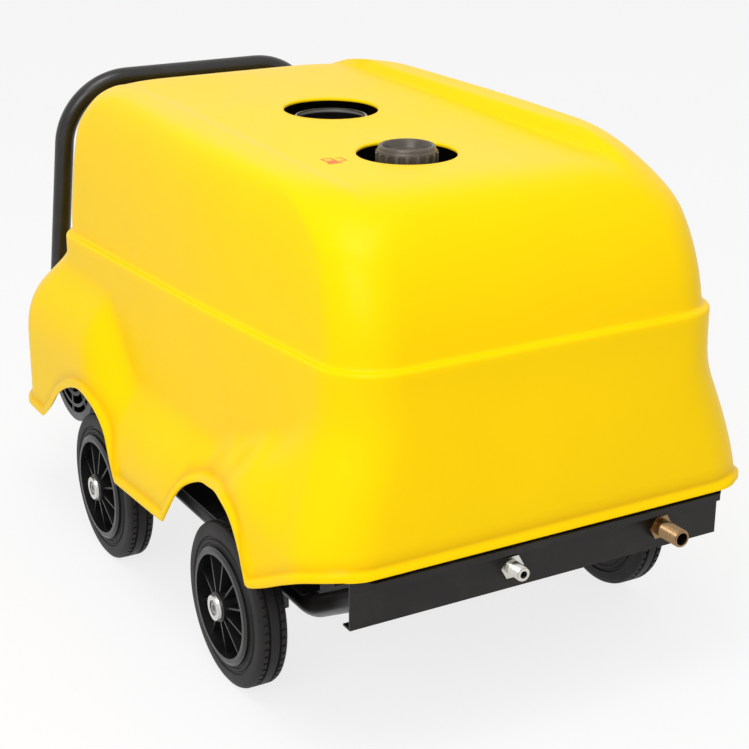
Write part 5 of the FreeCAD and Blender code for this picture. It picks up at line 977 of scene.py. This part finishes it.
def make_surround(strength):
    world = bpy.data.worlds.new("surround")
    bpy.context.scene.world = world
    world.use_nodes = True
    nodes, links = world.node_tree.nodes, world.node_tree.links
    plain = nodes["Background"]
    plain.inputs["Color"].default_value = (1, 1, 1, 1)
    plain.inputs["Strength"].default_value = strength
    links.new(seen_white(nodes, links, plain.outputs[0], 1.0), nodes["World Output"].inputs["Surface"])


def soft_light(name, place, target, size, power):
    data = bpy.data.lights.new(name, "AREA")
    data.shape = "RECTANGLE"
    data.size, data.size_y = size
    data.energy = power
    lamp = new_object(name, data)
    lamp.location = place
    lamp.rotation_euler = (Vector(target) - Vector(place)).to_track_quat("-Z", "Y").to_euler()


# where the camera stands on the drawings, and its yaw, pitch and roll in degrees
CAMERA_AT = (-1277.01, -2221.03, 1317.3)
CAMERA_TURN = (29.823, 20.462, 0.239)


def make_camera(lens):
    yaw, pitch, roll = (math.radians(a) for a in CAMERA_TURN)
    ahead = Vector((math.sin(yaw) * math.cos(pitch), math.cos(yaw) * math.cos(pitch), -math.sin(pitch)))
    level = Vector((math.cos(yaw), -math.sin(yaw), 0))
    upright = level.cross(ahead)
    right = math.cos(roll) * level + math.sin(roll) * upright
    up = math.cos(roll) * upright - math.sin(roll) * level
    data = bpy.data.cameras.new("camera")
    data.sensor_width = 36
    data.lens = lens
    data.clip_end = 60
    camera = new_object("camera", data)
    turn = Matrix((right, up, -ahead)).transposed()
    camera.matrix_world = Matrix.Translation(at_mm(*CAMERA_AT)) @ turn.to_4x4()
    bpy.context.scene.camera = camera


class WASHER_OT_stage(bpy.types.Operator):
    """Set the pale floor, the soft light and the camera"""
    bl_idname = "washer.stage"
    bl_label = "Stage"

    def execute(self, context):
        settings = context.scene.washer_stage
        context.scene.view_settings.view_transform = "Standard"
        make_floor()
        make_surround(settings.sky)
        soft_light("key", (-0.9, -0.9, 3.6), (0, 0, 0.3), (1.6, 1.6), settings.key_power)
        soft_light("fill", (-2.5, -2.3, 2.4), (0, 0, 0.4), (2.0, 1.4), settings.fill_power)
        make_camera(settings.lens)
        return {"FINISHED"}


class WASHER_PT_panel(bpy.types.Panel):
    bl_idname = "WASHER_PT_panel"
    bl_label = "Pressure washer"
    bl_space_type = "VIEW_3D"
    bl_region_type = "UI"
    bl_category = "Washer"

    def draw(self, context):
        for group in ("washer_hood", "washer_wheels", "washer_cap", "washer_stage"):
            settings = getattr(context.scene, group)
            for name in settings.bl_rna.properties.keys():
                if name not in ("rna_type", "name"):
                    self.layout.prop(settings, name)
        for step in STEPS:
            self.layout.operator(step.bl_idname)


STEPS = (WASHER_OT_dress, WASHER_OT_hood, WASHER_OT_fuel_mark, WASHER_OT_cap, WASHER_OT_tyres, WASHER_OT_stage)
GROUPS = {"washer_hood": WasherHood, "washer_wheels": WasherWheels, "washer_cap": WasherCap,
          "washer_stage": WasherStage}


def register():
    for group in GROUPS.values():
        bpy.utils.register_class(group)
    for cls in STEPS + (WASHER_PT_panel,):
        bpy.utils.register_class(cls)
    for name, group in GROUPS.items():
        setattr(bpy.types.Scene, name, PointerProperty(type=group))


def unregister():
    for name in GROUPS:
        delattr(bpy.types.Scene, name)
    for cls in (WASHER_PT_panel,) + STEPS[::-1] + tuple(GROUPS.values()):
        bpy.utils.unregister_class(cls)


def main():
    register()
    bpy.ops.washer.dress()
    bpy.ops.washer.hood()
    bpy.ops.washer.fuel_mark()
    bpy.ops.washer.cap()
    bpy.ops.washer.tyres()
    bpy.ops.washer.stage()


if __name__ == "__main__":
    main()
